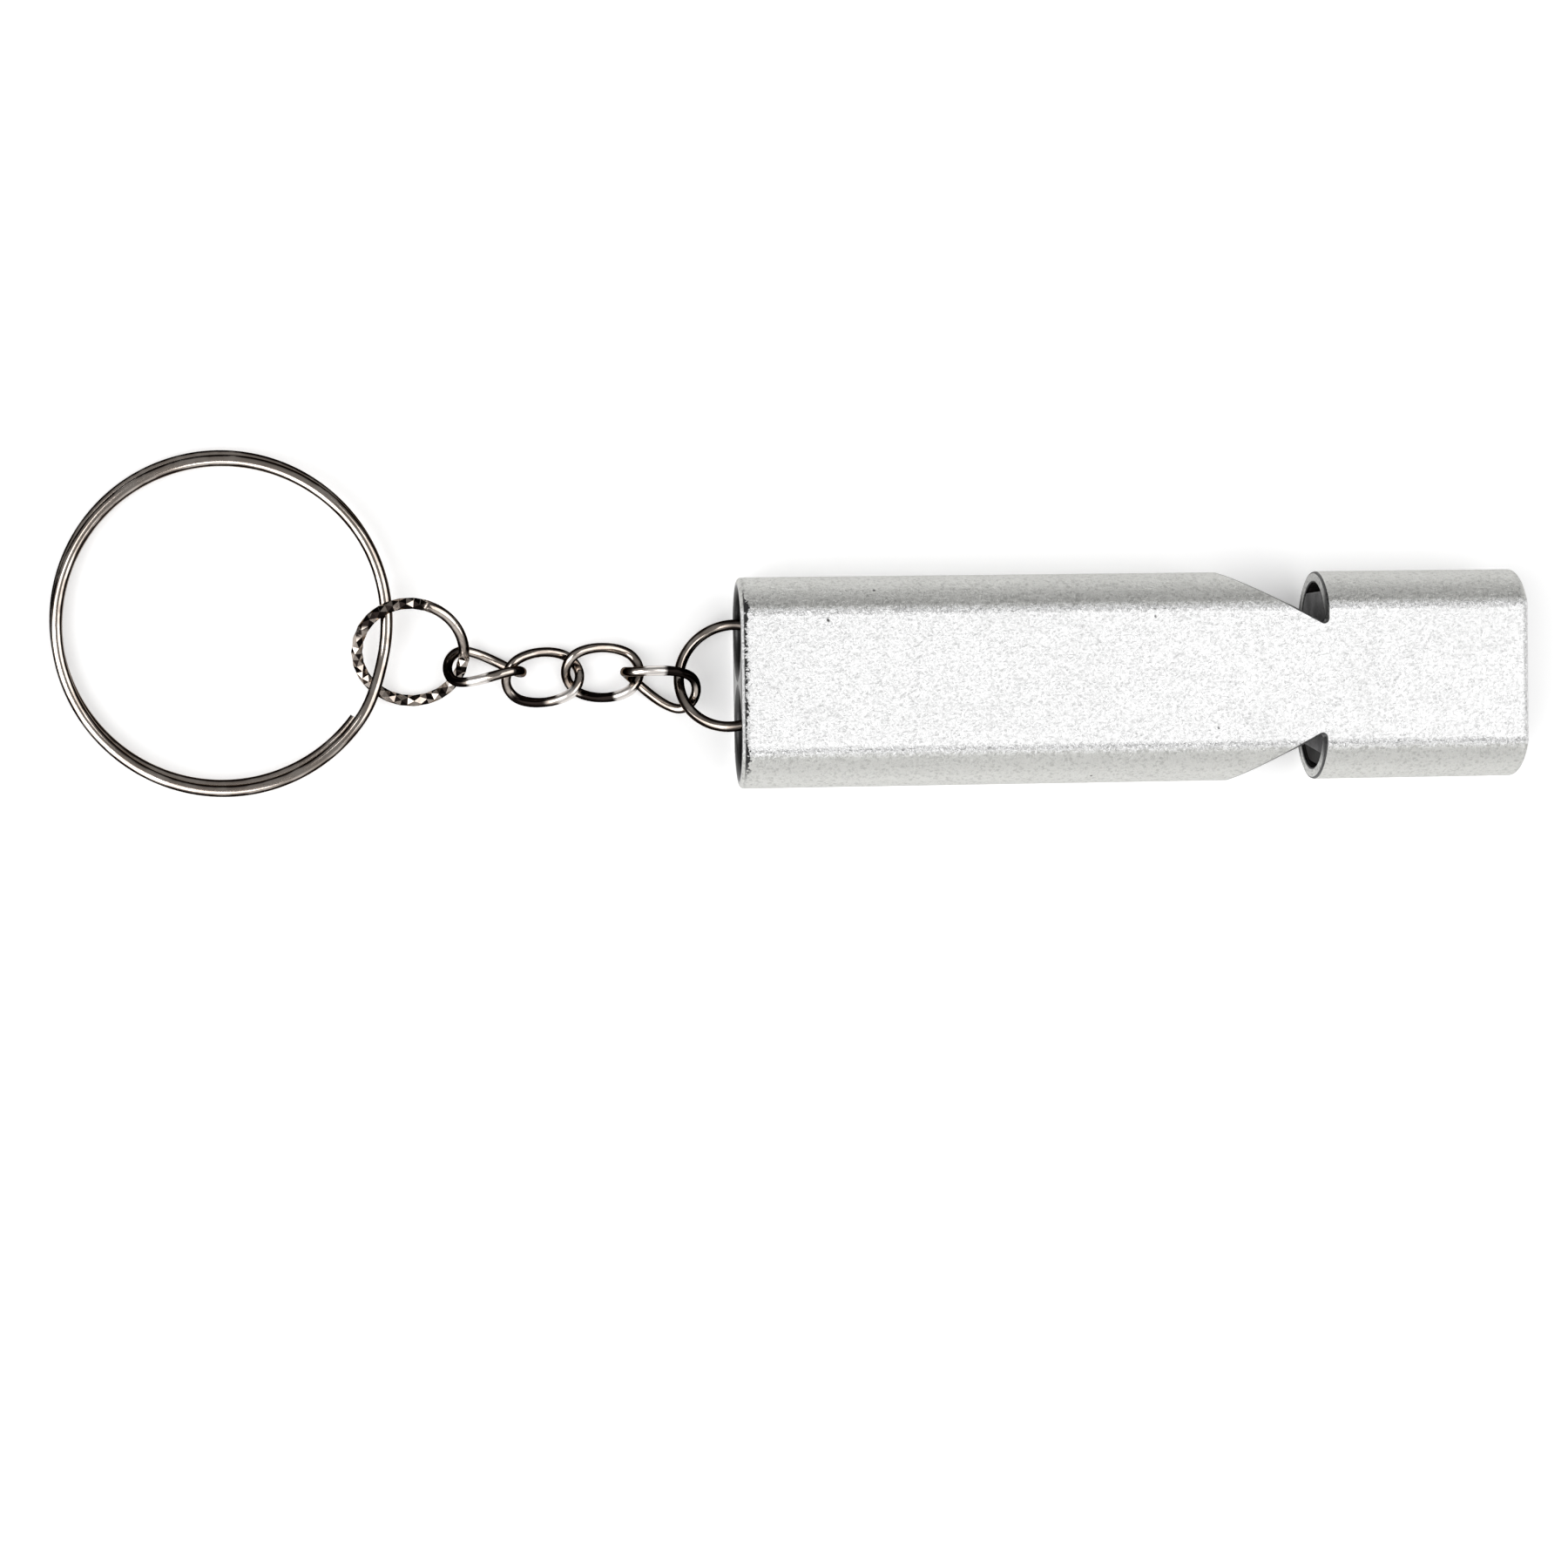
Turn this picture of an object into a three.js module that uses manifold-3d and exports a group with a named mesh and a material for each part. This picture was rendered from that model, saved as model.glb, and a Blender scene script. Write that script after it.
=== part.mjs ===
// Double-tube pocket whistle on a short key chain.
// An aluminium extrusion with two bores is the body. Each bore holds a fipple block at the mouthpiece and a
// stopper towards the tail. A jump ring through the web between the bores carries four curb links, a
// patterned jump ring and a two-turn split ring.
// Millimetres, +Z up. The body lies on a flat side with the mouthpiece towards +X, and the origin is the
// middle of that flat side. Left is +Y.

import * as THREE from "three";
import { mergeVertices } from "three/addons/utils/BufferGeometryUtils.js";
import Module from "manifold-3d";

const degree = Math.PI / 180;

// Body extrusion
const bodyLength = 58;
const boreDiameter = 6.4;
const outerWall = 0.85; // over each bore, at the flat sides and at the crown of the narrow sides
const webThickness = 0.9; // between the bores
const flatWidth = 10.2; // of the flat sides, which end in an edge
const endRound = 0.35; // on both sawn ends, outside and in the bores

// Voice notch on each narrow side
const leftMouthpieceLength = 15.1; // mouthpiece end to the notch wall
const rightMouthpieceLength = 15.3;
const leftNotchDepth = 4.0; // from the crown of the narrow side to the root
const rightNotchDepth = 3.5;
const rampSlope = 28 * degree; // lip ramp against the body's length
const notchRootRadius = 0.4;

// Fipple blocks and stoppers
const windwayHeight = 0.9;
const plugClearance = 0.06; // round a plug in its bore
const blockRecess = 0.4; // behind the mouthpiece end
const stopperLength = 4;
const leftStopperDepth = 8.5; // tail end to stopper
const rightStopperDepth = 12.5;
const rightBlockTurn = 8 * degree; // pressed in a little turned

// Jump ring through the web
const webHoleDiameter = 2.2;
const webHoleFromTail = 3.0;
const tailRingDiameter = 8.3;
const tailRingWire = 0.78;
const tailRingSeam = 50 * degree; // where its ends meet, from the web hole

// Curb links
const linkLength = 6.15;
const linkWidth = 4.4;
const linkWire = 0.72;
const linkTwist = 64 * degree; // between the two ends of a link

// Patterned jump ring
const patternRingDiameter = 8.6;
const patternWire = 0.86; // across the corners of the cut wire
const patternCuts = 38; // round the ring, an even number
const patternRingSeam = 35 * degree;

// Split ring
const splitRingDiameter = 24.8; // of one turn
const splitWireWidth = 0.85; // radial
const splitWireHeight = 0.75; // each turn
const splitWireEdge = 0.22; // round on the wire's edges
const splitTurnGap = 0.12; // between the two turns
const splitTurnShift = 0.42; // of the lower turn against the upper one
const splitShiftAngle = 146 * degree; // direction of that shift
const splitStep = 62 * degree; // where one turn steps down to the other

// Fits of the chain
const hookGap = 0.2; // between two wires that hook together
const tailRingSlack = 0.25; // more room where link 1 stands up in the tail ring
const flatLinkSlack = 0.08; // and where two flat links meet
const splitRingSlack = 1.0; // and for the split ring's rim in the patterned ring
const wireEndGap = 0.1; // between the butted ends of a ring or link

// Fineness of the round forms
const bodyArcPoints = 14;
const edgeSteps = 2;
const notchArcPoints = 3;
const webHoleSides = 24;
const wireSides = 10;
const linkSteps = 40;
const ringSteps = 48;
const splitSteps = 96;

// Sizes that follow from these
const boreRadius = boreDiameter / 2;
const boreOffset = (boreDiameter + webThickness) / 2;
const bodyThickness = boreDiameter + 2 * outerWall;
const crown = boreOffset + boreRadius + outerWall; // the narrow side's crown, from the middle
const tailEnd = -bodyLength / 2;
const mouthEnd = bodyLength / 2;
const leftNotchWall = mouthEnd - leftMouthpieceLength;
const rightNotchWall = mouthEnd - rightMouthpieceLength;

const aluminium = { color: 0xd9dadb, roughness: 0.42, metalness: 1.0 };
const plastic = { color: 0x3a3a3b, roughness: 0.6, metalness: 0.0 };
const nickel = { color: 0xb4a79c, roughness: 0.18, metalness: 1.0 };

const wasm = await Module();
wasm.setup();

function solid(geometry) {
  const bare = geometry.clone();
  bare.deleteAttribute("normal");
  bare.deleteAttribute("uv");
  const joined = mergeVertices(bare, 1e-5);
  return new wasm.Manifold(
    new wasm.Mesh({
      numProp: 3,
      vertProperties: joined.attributes.position.array,
      triVerts: new Uint32Array(joined.index.array),
    }),
  );
}

function geometryOf(manifold) {
  const mesh = manifold.getMesh();
  const geometry = new THREE.BufferGeometry();
  geometry.setAttribute("position", new THREE.BufferAttribute(mesh.vertProperties, 3));
  geometry.setIndex(new THREE.BufferAttribute(mesh.triVerts, 1));
  geometry.computeVertexNormals();
  return geometry;
}

function piece(name, geometry, look) {
  const mesh = new THREE.Mesh(geometry, new THREE.MeshStandardMaterial(look));
  mesh.name = name;
  return mesh;
}

// A section drawn in Y and Z, extruded along X from one place to another.
function alongBody(section, from, to, edge = 0) {
  const geometry = new THREE.ExtrudeGeometry(section, {
    depth: to - from - 2 * edge,
    bevelEnabled: edge > 0,
    bevelThickness: edge,
    bevelSize: edge,
    bevelOffset: -edge,
    bevelSegments: edgeSteps,
    curveSegments: bodyArcPoints,
  });
  geometry.translate(0, 0, from + edge);
  const sectionX = new THREE.Vector3(0, 1, 0);
  const sectionY = new THREE.Vector3(0, 0, 1);
  const depth = new THREE.Vector3(1, 0, 0);
  return geometry.applyMatrix4(new THREE.Matrix4().makeBasis(sectionX, sectionY, depth));
}

// Body: the extruded section, its two voice notches and the hole in the web
// The section has two flats, joined on each side by an arc from edge to edge over the crown.
function bodySection() {
  const rise = crown - flatWidth / 2;
  const sideRadius = ((bodyThickness / 2) ** 2 + rise ** 2) / (2 * rise);
  const sideCentre = crown - sideRadius;
  const half = Math.asin(bodyThickness / 2 / sideRadius);
  const section = new THREE.Shape();
  section.absarc(sideCentre, 0, sideRadius, -half, half);
  section.absarc(-sideCentre, 0, sideRadius, Math.PI - half, Math.PI + half);
  section.closePath();
  for (const side of [1, -1]) {
    const bore = new THREE.Path();
    bore.absarc(side * boreOffset, 0, boreRadius, 0, 2 * Math.PI);
    section.holes.push(bore);
  }
  return section;
}

// The room that the saw leaves: a square wall on the mouthpiece side, a ramp on the tail side and a small
// radius at the root.
function notchRoom(notchWall, notchDepth) {
  const clear = 1; // past the body's surface
  const root = crown - notchDepth;
  const centreX = notchWall - notchRootRadius;
  const centreY = root + notchRootRadius * (Math.tan(rampSlope) + 1 / Math.cos(rampSlope));
  const outline = new THREE.Shape();
  outline.moveTo(notchWall, crown + clear);
  outline.lineTo(notchWall - (notchDepth + clear) / Math.tan(rampSlope), crown + clear);
  outline.absarc(centreX, centreY, notchRootRadius, -Math.PI / 2 - rampSlope, 0);
  outline.closePath();
  const depth = bodyThickness + 2 * clear;
  const room = new THREE.ExtrudeGeometry(outline, {
    depth,
    bevelEnabled: false,
    curveSegments: notchArcPoints,
  });
  return room.translate(0, 0, -depth / 2);
}

function bodyGeometry() {
  let body = solid(alongBody(bodySection(), tailEnd, mouthEnd, endRound));
  const leftNotch = notchRoom(leftNotchWall, leftNotchDepth);
  const rightNotch = notchRoom(rightNotchWall, rightNotchDepth).rotateX(Math.PI);
  const webHole = new THREE.CylinderGeometry(
    webHoleDiameter / 2,
    webHoleDiameter / 2,
    webThickness + boreRadius,
    webHoleSides,
  );
  webHole.translate(tailEnd + webHoleFromTail, 0, 0);
  for (const room of [leftNotch, rightNotch, webHole]) {
    body = body.subtract(solid(room));
  }
  return geometryOf(body);
}

// Plugs in the bores
const plugRadius = boreRadius - plugClearance;

// A round block with a flat on its outer side. The flat is the floor of the windway.
function blockSection(side, turn) {
  const floor = boreRadius - windwayHeight; // from the bore's axis
  const half = Math.PI / 2 + Math.asin(floor / plugRadius);
  const inward = (side > 0 ? Math.PI : 0) + turn;
  const section = new THREE.Shape();
  section.absarc(side * boreOffset, 0, plugRadius, inward - half, inward + half);
  section.closePath();
  return section;
}

function stopperSection(side) {
  const section = new THREE.Shape();
  section.absarc(side * boreOffset, 0, plugRadius, 0, 2 * Math.PI);
  return section;
}

// Wires: a ring, a twisted curb link and a two-turn split ring as curves of their wire's middle
class RingCurve extends THREE.Curve {
  constructor(radius, seam) {
    super();
    this.radius = radius;
    this.seam = seam;
  }

  getPoint(t, target = new THREE.Vector3()) {
    const gap = wireEndGap / this.radius;
    const angle = this.seam + gap / 2 + t * (2 * Math.PI - gap);
    return target.set(this.radius * Math.cos(angle), this.radius * Math.sin(angle), 0);
  }
}

// A flat oval whose sides are straight, turned about its length by a share of the twist.
class LinkCurve extends THREE.Curve {
  constructor(length, width, wire, twist) {
    super();
    this.half = (length - width) / 2;
    this.radius = (width - wire) / 2;
    this.tip = this.half + this.radius;
    this.twist = twist;
  }

  getPoint(t, target = new THREE.Vector3()) {
    const arc = Math.PI * this.radius;
    const whole = 4 * this.half + 2 * arc;
    let way = wireEndGap / 2 + t * (whole - wireEndGap);
    const legs = [this.half, arc, 2 * this.half, arc, this.half];
    let leg = 0;
    while (leg < legs.length - 1 && way > legs[leg]) {
      way -= legs[leg];
      leg += 1;
    }
    let along = 0;
    let across = 0;
    if (leg === 1 || leg === 3) {
      const angle = way / this.radius;
      const end = leg === 1 ? -1 : 1;
      along = end * (this.half + this.radius * Math.sin(angle));
      across = -end * this.radius * Math.cos(angle);
    } else {
      const start = [0, 0, -this.half, 0, this.half][leg];
      along = leg === 2 ? start + way : start - way;
      across = leg === 2 ? -this.radius : this.radius;
    }
    const turn = (-this.twist / 2) * (along / this.tip);
    return target.set(along, across * Math.cos(turn), across * Math.sin(turn));
  }
}

class SplitRingCurve extends THREE.Curve {
  getPoint(t, target = new THREE.Vector3()) {
    const angle = splitStep / 2 + t * (4 * Math.PI - splitStep);
    const way = (angle - 2 * Math.PI) / splitStep;
    const level = -THREE.MathUtils.smootherstep(way, -0.5, 0.5) * 2 + 1; // 1 on the upper turn, -1 on the lower
    const shift = (-level * splitTurnShift) / 2;
    return target.set(
      splitRadius * Math.cos(angle) + shift * Math.cos(splitShiftAngle),
      splitRadius * Math.sin(angle) + shift * Math.sin(splitShiftAngle),
      (level * (splitWireHeight + splitTurnGap)) / 2,
    );
  }
}

const tailRadius = (tailRingDiameter - tailRingWire) / 2;
const patternRadius = (patternRingDiameter - patternWire) / 2;
const splitRadius = (splitRingDiameter - splitWireWidth) / 2;

function roundWire(curve, wire, steps) {
  const section = new THREE.Shape();
  section.absarc(0, 0, wire / 2, 0, 2 * Math.PI);
  return new THREE.ExtrudeGeometry(section, {
    steps,
    extrudePath: curve,
    bevelEnabled: false,
    curveSegments: wireSides / 2,
  });
}

// The split ring's wire is flat with rounded edges; the shape's first axis lies across the ring's plane.
function flatWire(curve, width, height, steps) {
  const section = new THREE.Shape();
  const up = height / 2 - splitWireEdge;
  const out = width / 2 - splitWireEdge;
  section.absarc(up, out, splitWireEdge, 0, Math.PI / 2);
  section.absarc(-up, out, splitWireEdge, Math.PI / 2, Math.PI);
  section.absarc(-up, -out, splitWireEdge, Math.PI, 1.5 * Math.PI);
  section.absarc(up, -out, splitWireEdge, 1.5 * Math.PI, 2 * Math.PI);
  section.closePath();
  return new THREE.ExtrudeGeometry(section, {
    steps,
    extrudePath: curve,
    bevelEnabled: false,
    curveSegments: 1,
  });
}

// Cut wire: square sections along the curve, each turned by an eighth against the last, so that its surface
// is a belt of triangles that point to and fro.
function cutWire(curve, across, cuts) {
  const frames = curve.computeFrenetFrames(cuts, false);
  const corners = 4;
  const places = [];
  const faces = [];
  for (let step = 0; step <= cuts; step += 1) {
    const middle = curve.getPointAt(step / cuts);
    for (let corner = 0; corner < corners; corner += 1) {
      const angle = ((corner + (step % 2) / 2) / corners) * 2 * Math.PI;
      const place = middle.clone();
      place.addScaledVector(frames.normals[step], (across / 2) * Math.cos(angle));
      place.addScaledVector(frames.binormals[step], (across / 2) * Math.sin(angle));
      places.push(place.x, place.y, place.z);
    }
  }
  for (let step = 0; step < cuts; step += 1) {
    const here = step * corners;
    const next = here + corners;
    for (let corner = 0; corner < corners; corner += 1) {
      const after = (corner + 1) % corners;
      if (step % 2 === 0) {
        faces.push(here + corner, here + after, next + corner);
        faces.push(here + after, next + after, next + corner);
      } else {
        faces.push(here + corner, next + after, next + corner);
        faces.push(here + corner, here + after, next + after);
      }
    }
  }
  const last = cuts * corners;
  faces.push(0, 2, 1, 0, 3, 2);
  faces.push(last, last + 1, last + 2, last, last + 2, last + 3);
  const geometry = new THREE.BufferGeometry();
  geometry.setAttribute("position", new THREE.Float32BufferAttribute(places, 3));
  geometry.setIndex(faces);
  geometry.computeVertexNormals();
  return geometry;
}

// Chain: each loop's end is an arc of wire. Its centre lies on the loop's long axis, and its plane is turned
// about that axis by half of the twist. Near ends (1) face the whistle, far ends (-1) face away.
const near = 1;
const far = -1;

function endPoint(loop, end, radius, angle) {
  const twist = (-end * loop.twist) / 2;
  const across = radius * Math.sin(angle);
  return new THREE.Vector3(
    end * (loop.half + radius * Math.cos(angle)),
    across * Math.cos(twist),
    across * Math.sin(twist),
  );
}

// Turns a loop: roll about its own length, slope of its length, and turn as seen from above.
function lay(loop, { roll, slope, turn }) {
  loop.mesh.rotation.set(roll, slope, turn, "ZYX");
}

// Hooks a loop's near end into the far end of the loop that holds it. Seat is the place on the holder's end
// arc and grip the place on the loop's own end arc, both as angles from the long axis.
function hook(loop, holder, { seat, grip, slack }) {
  const reach = holder.radius - (holder.wire + loop.wire) / 2 - hookGap - slack;
  const contact = endPoint(holder, far, reach, seat);
  contact.applyEuler(holder.mesh.rotation);
  contact.add(holder.mesh.position);
  const own = endPoint(loop, near, loop.radius, grip);
  own.applyEuler(loop.mesh.rotation);
  loop.mesh.position.copy(contact.sub(own));
}

function makeLink(number) {
  const curve = new LinkCurve(linkLength, linkWidth, linkWire, linkTwist);
  const mesh = piece(`chain_link_${number}`, roundWire(curve, linkWire, linkSteps), nickel);
  return { mesh, half: curve.half, radius: curve.radius, twist: linkTwist, wire: linkWire };
}

const tailRing = {
  mesh: piece(
    "tail_ring",
    roundWire(new RingCurve(tailRadius, tailRingSeam), tailRingWire, ringSteps),
    nickel,
  ),
  half: 0,
  radius: tailRadius,
  twist: 0,
  wire: tailRingWire,
};
const patternRing = {
  mesh: piece(
    "patterned_ring",
    cutWire(new RingCurve(patternRadius, patternRingSeam), patternWire, patternCuts),
    nickel,
  ),
  half: 0,
  radius: patternRadius,
  twist: 0,
  wire: patternWire,
};
const splitRing = {
  mesh: piece(
    "split_ring",
    flatWire(new SplitRingCurve(), splitWireWidth, splitWireHeight, splitSteps),
    nickel,
  ),
  half: 0,
  radius: splitRadius,
  twist: 0,
  wire: splitWireWidth,
};
const [link1, link2, link3, link4] = [1, 2, 3, 4].map(makeLink);

// How the chain lies on the table. Links 1 and 4 stand half on edge, links 2 and 3 lie flat between them.
function lies(roll, slope, turn) {
  return { roll: roll * degree, slope: slope * degree, turn: turn * degree };
}

function hooks(seat, grip, slack = 0) {
  return { seat: seat * degree, grip: grip * degree, slack };
}

const tailRingLie = lies(-16, 0, -9);
const link1Lie = lies(56, 0, -20);
const link2Lie = lies(0, -5, 0);
const link3Lie = lies(0, 5, 6);
const link4Lie = lies(-64, -5, -6);
const patternRingLie = lies(25, 0, 0);
const splitRingLie = lies(0, -3, -6);
const link1Hook = hooks(-28, 22, tailRingSlack);
const link2Hook = hooks(-35, -14);
const link3Hook = hooks(0, 0, flatLinkSlack);
const link4Hook = hooks(40, 20);
const patternRingHook = hooks(25, -13);
const splitRingHook = hooks(0, -5, splitRingSlack);

// The tail ring slopes from the web hole down to link 1, whose lower side rests on the table.
const webHoleHeight = bodyThickness / 2;
const link1Height = link1.radius * Math.sin(link1Lie.roll + linkTwist / 4) + linkWire / 2;
const seatReach = tailRadius - (tailRingWire + linkWire) / 2 - hookGap;
const seatLift = seatReach * Math.sin(link1Hook.seat) * Math.sin(tailRingLie.roll);
const seatWay = tailRadius + seatReach * Math.cos(link1Hook.seat);
const gripDrop = link1.radius * Math.sin(link1Hook.grip) * Math.sin(link1Lie.roll - linkTwist / 2);
tailRingLie.slope = -Math.asin((webHoleHeight + seatLift - gripDrop - link1Height) / seatWay);

lay(tailRing, tailRingLie);
const webHole = new THREE.Vector3(tailEnd + webHoleFromTail, 0, webHoleHeight);
const ringArm = new THREE.Vector3(tailRadius, 0, 0).applyEuler(tailRing.mesh.rotation);
tailRing.mesh.position.copy(webHole).sub(ringArm);
for (const [loop, holder, lie, hold] of [
  [link1, tailRing, link1Lie, link1Hook],
  [link2, link1, link2Lie, link2Hook],
  [link3, link2, link3Lie, link3Hook],
  [link4, link3, link4Lie, link4Hook],
  [patternRing, link4, patternRingLie, patternRingHook],
  [splitRing, patternRing, splitRingLie, splitRingHook],
]) {
  lay(loop, lie);
  hook(loop, holder, hold);
}

// Assembly
const whistle = new THREE.Group();
whistle.position.z = bodyThickness / 2;
whistle.add(piece("whistle_body", bodyGeometry(), aluminium));
for (const [name, side, turn, notchWall, depth] of [
  ["left", 1, 0, leftNotchWall, leftStopperDepth],
  ["right", -1, rightBlockTurn, rightNotchWall, rightStopperDepth],
]) {
  const block = alongBody(blockSection(side, turn), notchWall, mouthEnd - blockRecess);
  whistle.add(piece(`${name}_fipple_block`, block, plastic));
  const stopper = alongBody(stopperSection(side), tailEnd + depth, tailEnd + depth + stopperLength);
  whistle.add(piece(`${name}_tube_stopper`, stopper, plastic));
}

const object = new THREE.Group();
object.add(whistle);
for (const loop of [tailRing, link1, link2, link3, link4, patternRing, splitRing]) {
  object.add(loop.mesh);
}

export default object;
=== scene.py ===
import math

import bmesh
import bpy
from mathutils import Euler, Matrix, Vector


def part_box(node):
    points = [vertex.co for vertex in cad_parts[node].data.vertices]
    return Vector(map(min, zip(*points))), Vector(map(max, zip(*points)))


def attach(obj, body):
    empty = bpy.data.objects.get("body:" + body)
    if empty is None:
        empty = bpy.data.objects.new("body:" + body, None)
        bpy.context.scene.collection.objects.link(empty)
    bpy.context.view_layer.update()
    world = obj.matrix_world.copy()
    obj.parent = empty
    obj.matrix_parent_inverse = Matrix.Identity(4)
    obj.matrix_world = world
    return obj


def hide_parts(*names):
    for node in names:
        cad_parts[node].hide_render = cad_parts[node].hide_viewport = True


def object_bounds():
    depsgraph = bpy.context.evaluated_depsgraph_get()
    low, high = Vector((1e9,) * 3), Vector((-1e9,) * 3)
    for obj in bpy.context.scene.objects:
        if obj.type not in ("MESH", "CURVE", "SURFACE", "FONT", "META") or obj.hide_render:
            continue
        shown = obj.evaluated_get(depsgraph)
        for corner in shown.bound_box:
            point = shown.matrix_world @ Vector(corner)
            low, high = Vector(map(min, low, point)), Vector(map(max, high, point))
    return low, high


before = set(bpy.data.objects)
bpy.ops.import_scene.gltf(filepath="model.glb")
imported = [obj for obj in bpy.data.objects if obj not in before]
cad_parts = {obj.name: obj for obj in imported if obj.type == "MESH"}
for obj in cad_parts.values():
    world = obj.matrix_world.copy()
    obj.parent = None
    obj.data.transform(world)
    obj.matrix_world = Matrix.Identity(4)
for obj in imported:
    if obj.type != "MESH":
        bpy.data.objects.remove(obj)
cad_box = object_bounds()

MM = 0.001
DEGREE = math.pi / 180

# Body, from the frame and the source's own sizes
body_low, body_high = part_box("whistle_body")
TAIL_END = body_low.x
MOUTH_END = body_high.x
CROWN = body_high.y
HALF_HEIGHT = body_high.z / 2
FLAT_EDGE = 5.1 * MM
CREASE_ROUND = 0.2 * MM
END_ROUND = 0.35 * MM
BORE_RADIUS = 3.2 * MM
BORE_OFFSET = 3.65 * MM
WEB_HOLE_RADIUS = 1.1 * MM
WEB_HOLE_FROM_TAIL = 3.38 * MM
WEB_HOLE_DEPTH = 1.3 * BORE_RADIUS
DEBURR = 0.15 * MM

# Voice notches
NOTCH_DEPTH = {"left": 4.0 * MM, "right": 3.5 * MM}
RAMP_SLOPE = 28 * DEGREE
NOTCH_ROOT_RADIUS = 0.25 * MM

# Plugs
PLUG_RADIUS = 3.14 * MM
WINDWAY_HEIGHT = {"left": 0.7 * MM, "right": 0.32 * MM}
BLOCK_STEP = {"left": 0.0, "right": 1.15 * MM}
BLOCK_STEP_DEPTH = 0.28 * MM
BLOCK_STEP_SLOPE = 0.05 * MM
BLOCK_TURN = {"left": 0.0, "right": 8 * DEGREE}
PLUG_EDGE = 0.12 * MM

# Wires
TAIL_RING_RADIUS = 3.95 * MM
TAIL_RING_WIRE = 0.78 * MM
TAIL_RING_SEAM = 50 * DEGREE
LINK_HALF = 0.875 * MM
LINK_RADIUS = 1.84 * MM
LINK_WIRE = 0.72 * MM
LINK_DRAWN_WIRE = 0.7 * MM
LINK_EDGE = 0.31 * MM
LINK_SHOULDER = 0.72
LINK_WIRE_TURN = 360 * DEGREE
# places of painted dark reflection and painted highlight along each link, as shares of its length
LINK_DARK_STRETCH = (0.17, 0.73, 0.667, 0.58)
LINK_GLINT = (0.3, 0.865, 0.86, 0.735)
DARK_STRETCH_SHARE = 0.1
GLINT_STRETCH_SHARE = 0.045
STRETCH_FADE = (0.75, 1.25)
LINK_TWIST = 64 * DEGREE
PATTERN_RADIUS = 3.87 * MM
PATTERN_WIRE = 0.86 * MM
PATTERN_CUTS = 51
PATTERN_CORNERS = 5
PATTERN_SEAM = 35 * DEGREE
PATTERN_SMOOTH = (5 * DEGREE, 62 * DEGREE)
PATTERN_FADE = 14 * DEGREE
PATTERN_ROUND = 0.46
SPLIT_RADIUS = 11.975 * MM
SPLIT_WIDTH = 0.85 * MM
SPLIT_HEIGHT = 0.75 * MM
SPLIT_EDGE = 0.36 * MM
SPLIT_GAP = 0.12 * MM
SPLIT_SHIFT = 0.46 * MM
SPLIT_SHIFT_ANGLE = 126 * DEGREE
SPLIT_TUCK = 0.22 * MM
SPLIT_TUCK_SPAN = 45 * DEGREE
SPLIT_STEP = 28 * DEGREE
SPLIT_STEP_PLACE = -17 * DEGREE
WIRE_END_GAP = 0.02 * MM
HOOK_GAP = 0.2 * MM
TAIL_RING_SLACK = 0.25 * MM
FLAT_LINK_SLACK = 0.08 * MM
SPLIT_RING_SLACK = 1.0 * MM

# Fineness
SIDE_STEPS = 40
CREASE_STEPS = 4
END_STEPS = 5
BORE_STEPS = 72
ROOT_STEPS = 6
WIRE_SIDES = 24
RING_STEPS = 160
LINK_STEPS = 120
SPLIT_STEPS = 520
HOLE_STEPS = 40
CUT_LEVELS = 3
FILLET_STEPS = 6
DEBURR_STEPS = 2
PLUG_EDGE_STEPS = 3

# Angles from which an edge counts as one
DEBURR_ANGLE = 30 * DEGREE
PLUG_EDGE_ANGLE = 35 * DEGREE
SMOOTH_ANGLE = 40 * DEGREE
FACET_ANGLE = 16 * DEGREE


# Node trees

FLOAT = "NodeSocketFloat"
VECTOR = "NodeSocketVector"


def add(tree, kind, inputs=None, **settings):
    """Adds a node; inputs are values or the outputs of other nodes, by name or place."""
    node = tree.nodes.new(kind)
    for name, value in settings.items():
        setattr(node, name, value)
    for key, value in (inputs or {}).items():
        if isinstance(value, bpy.types.NodeSocket):
            tree.links.new(value, node.inputs[key])
        else:
            node.inputs[key].default_value = value
    return node


def shape(tree, kind, inputs=None, **settings):
    """Adds a geometry node and gives its first output."""
    return add(tree, f"GeometryNode{kind}", inputs, **settings).outputs[0]


def math_node(tree, operation, first, second=0.0, third=0.0):
    values = {0: first, 1: second, 2: third}
    return add(tree, "ShaderNodeMath", values, operation=operation).outputs[0]


def mapped(tree, value, low, high, to_low=0.0, to_high=1.0, curve="SMOOTHSTEP"):
    """Carries a value from one span to another, held at both ends."""
    inputs = {"Value": value, "From Min": low, "From Max": high, "To Min": to_low, "To Max": to_high}
    return add(tree, "ShaderNodeMapRange", inputs, interpolation_type=curve).outputs["Result"]


def new_group(kind, name, inputs, outputs):
    """A node tree with named inputs (label, socket kind, default) and outputs (label, socket kind)."""
    tree = bpy.data.node_groups.new(name, kind)
    for label, socket, default in inputs:
        made = tree.interface.new_socket(label, in_out="INPUT", socket_type=socket)
        if default is not None:
            made.default_value = default
    for label, socket in outputs:
        tree.interface.new_socket(label, in_out="OUTPUT", socket_type=socket)
    return tree, tree.nodes.new("NodeGroupInput").outputs, tree.nodes.new("NodeGroupOutput")


# Finishes: the effects that several materials share

CRATERS_PER_GRAIN = 0.8
CRATER_SPAN = (0.1, 0.62)
CRATER_DEPTH = 0.2
SPOTS_PER_GRAIN = 0.22
PIT_SPAN = (0.04, 0.13)
PIT_DEPTH = -1.6
SHADE_SPAN = (0.42, 0.72)
LINE_SPAN = (0.58, 0.72)
PATCH_SPAN = (0.38, 0.66)


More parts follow.
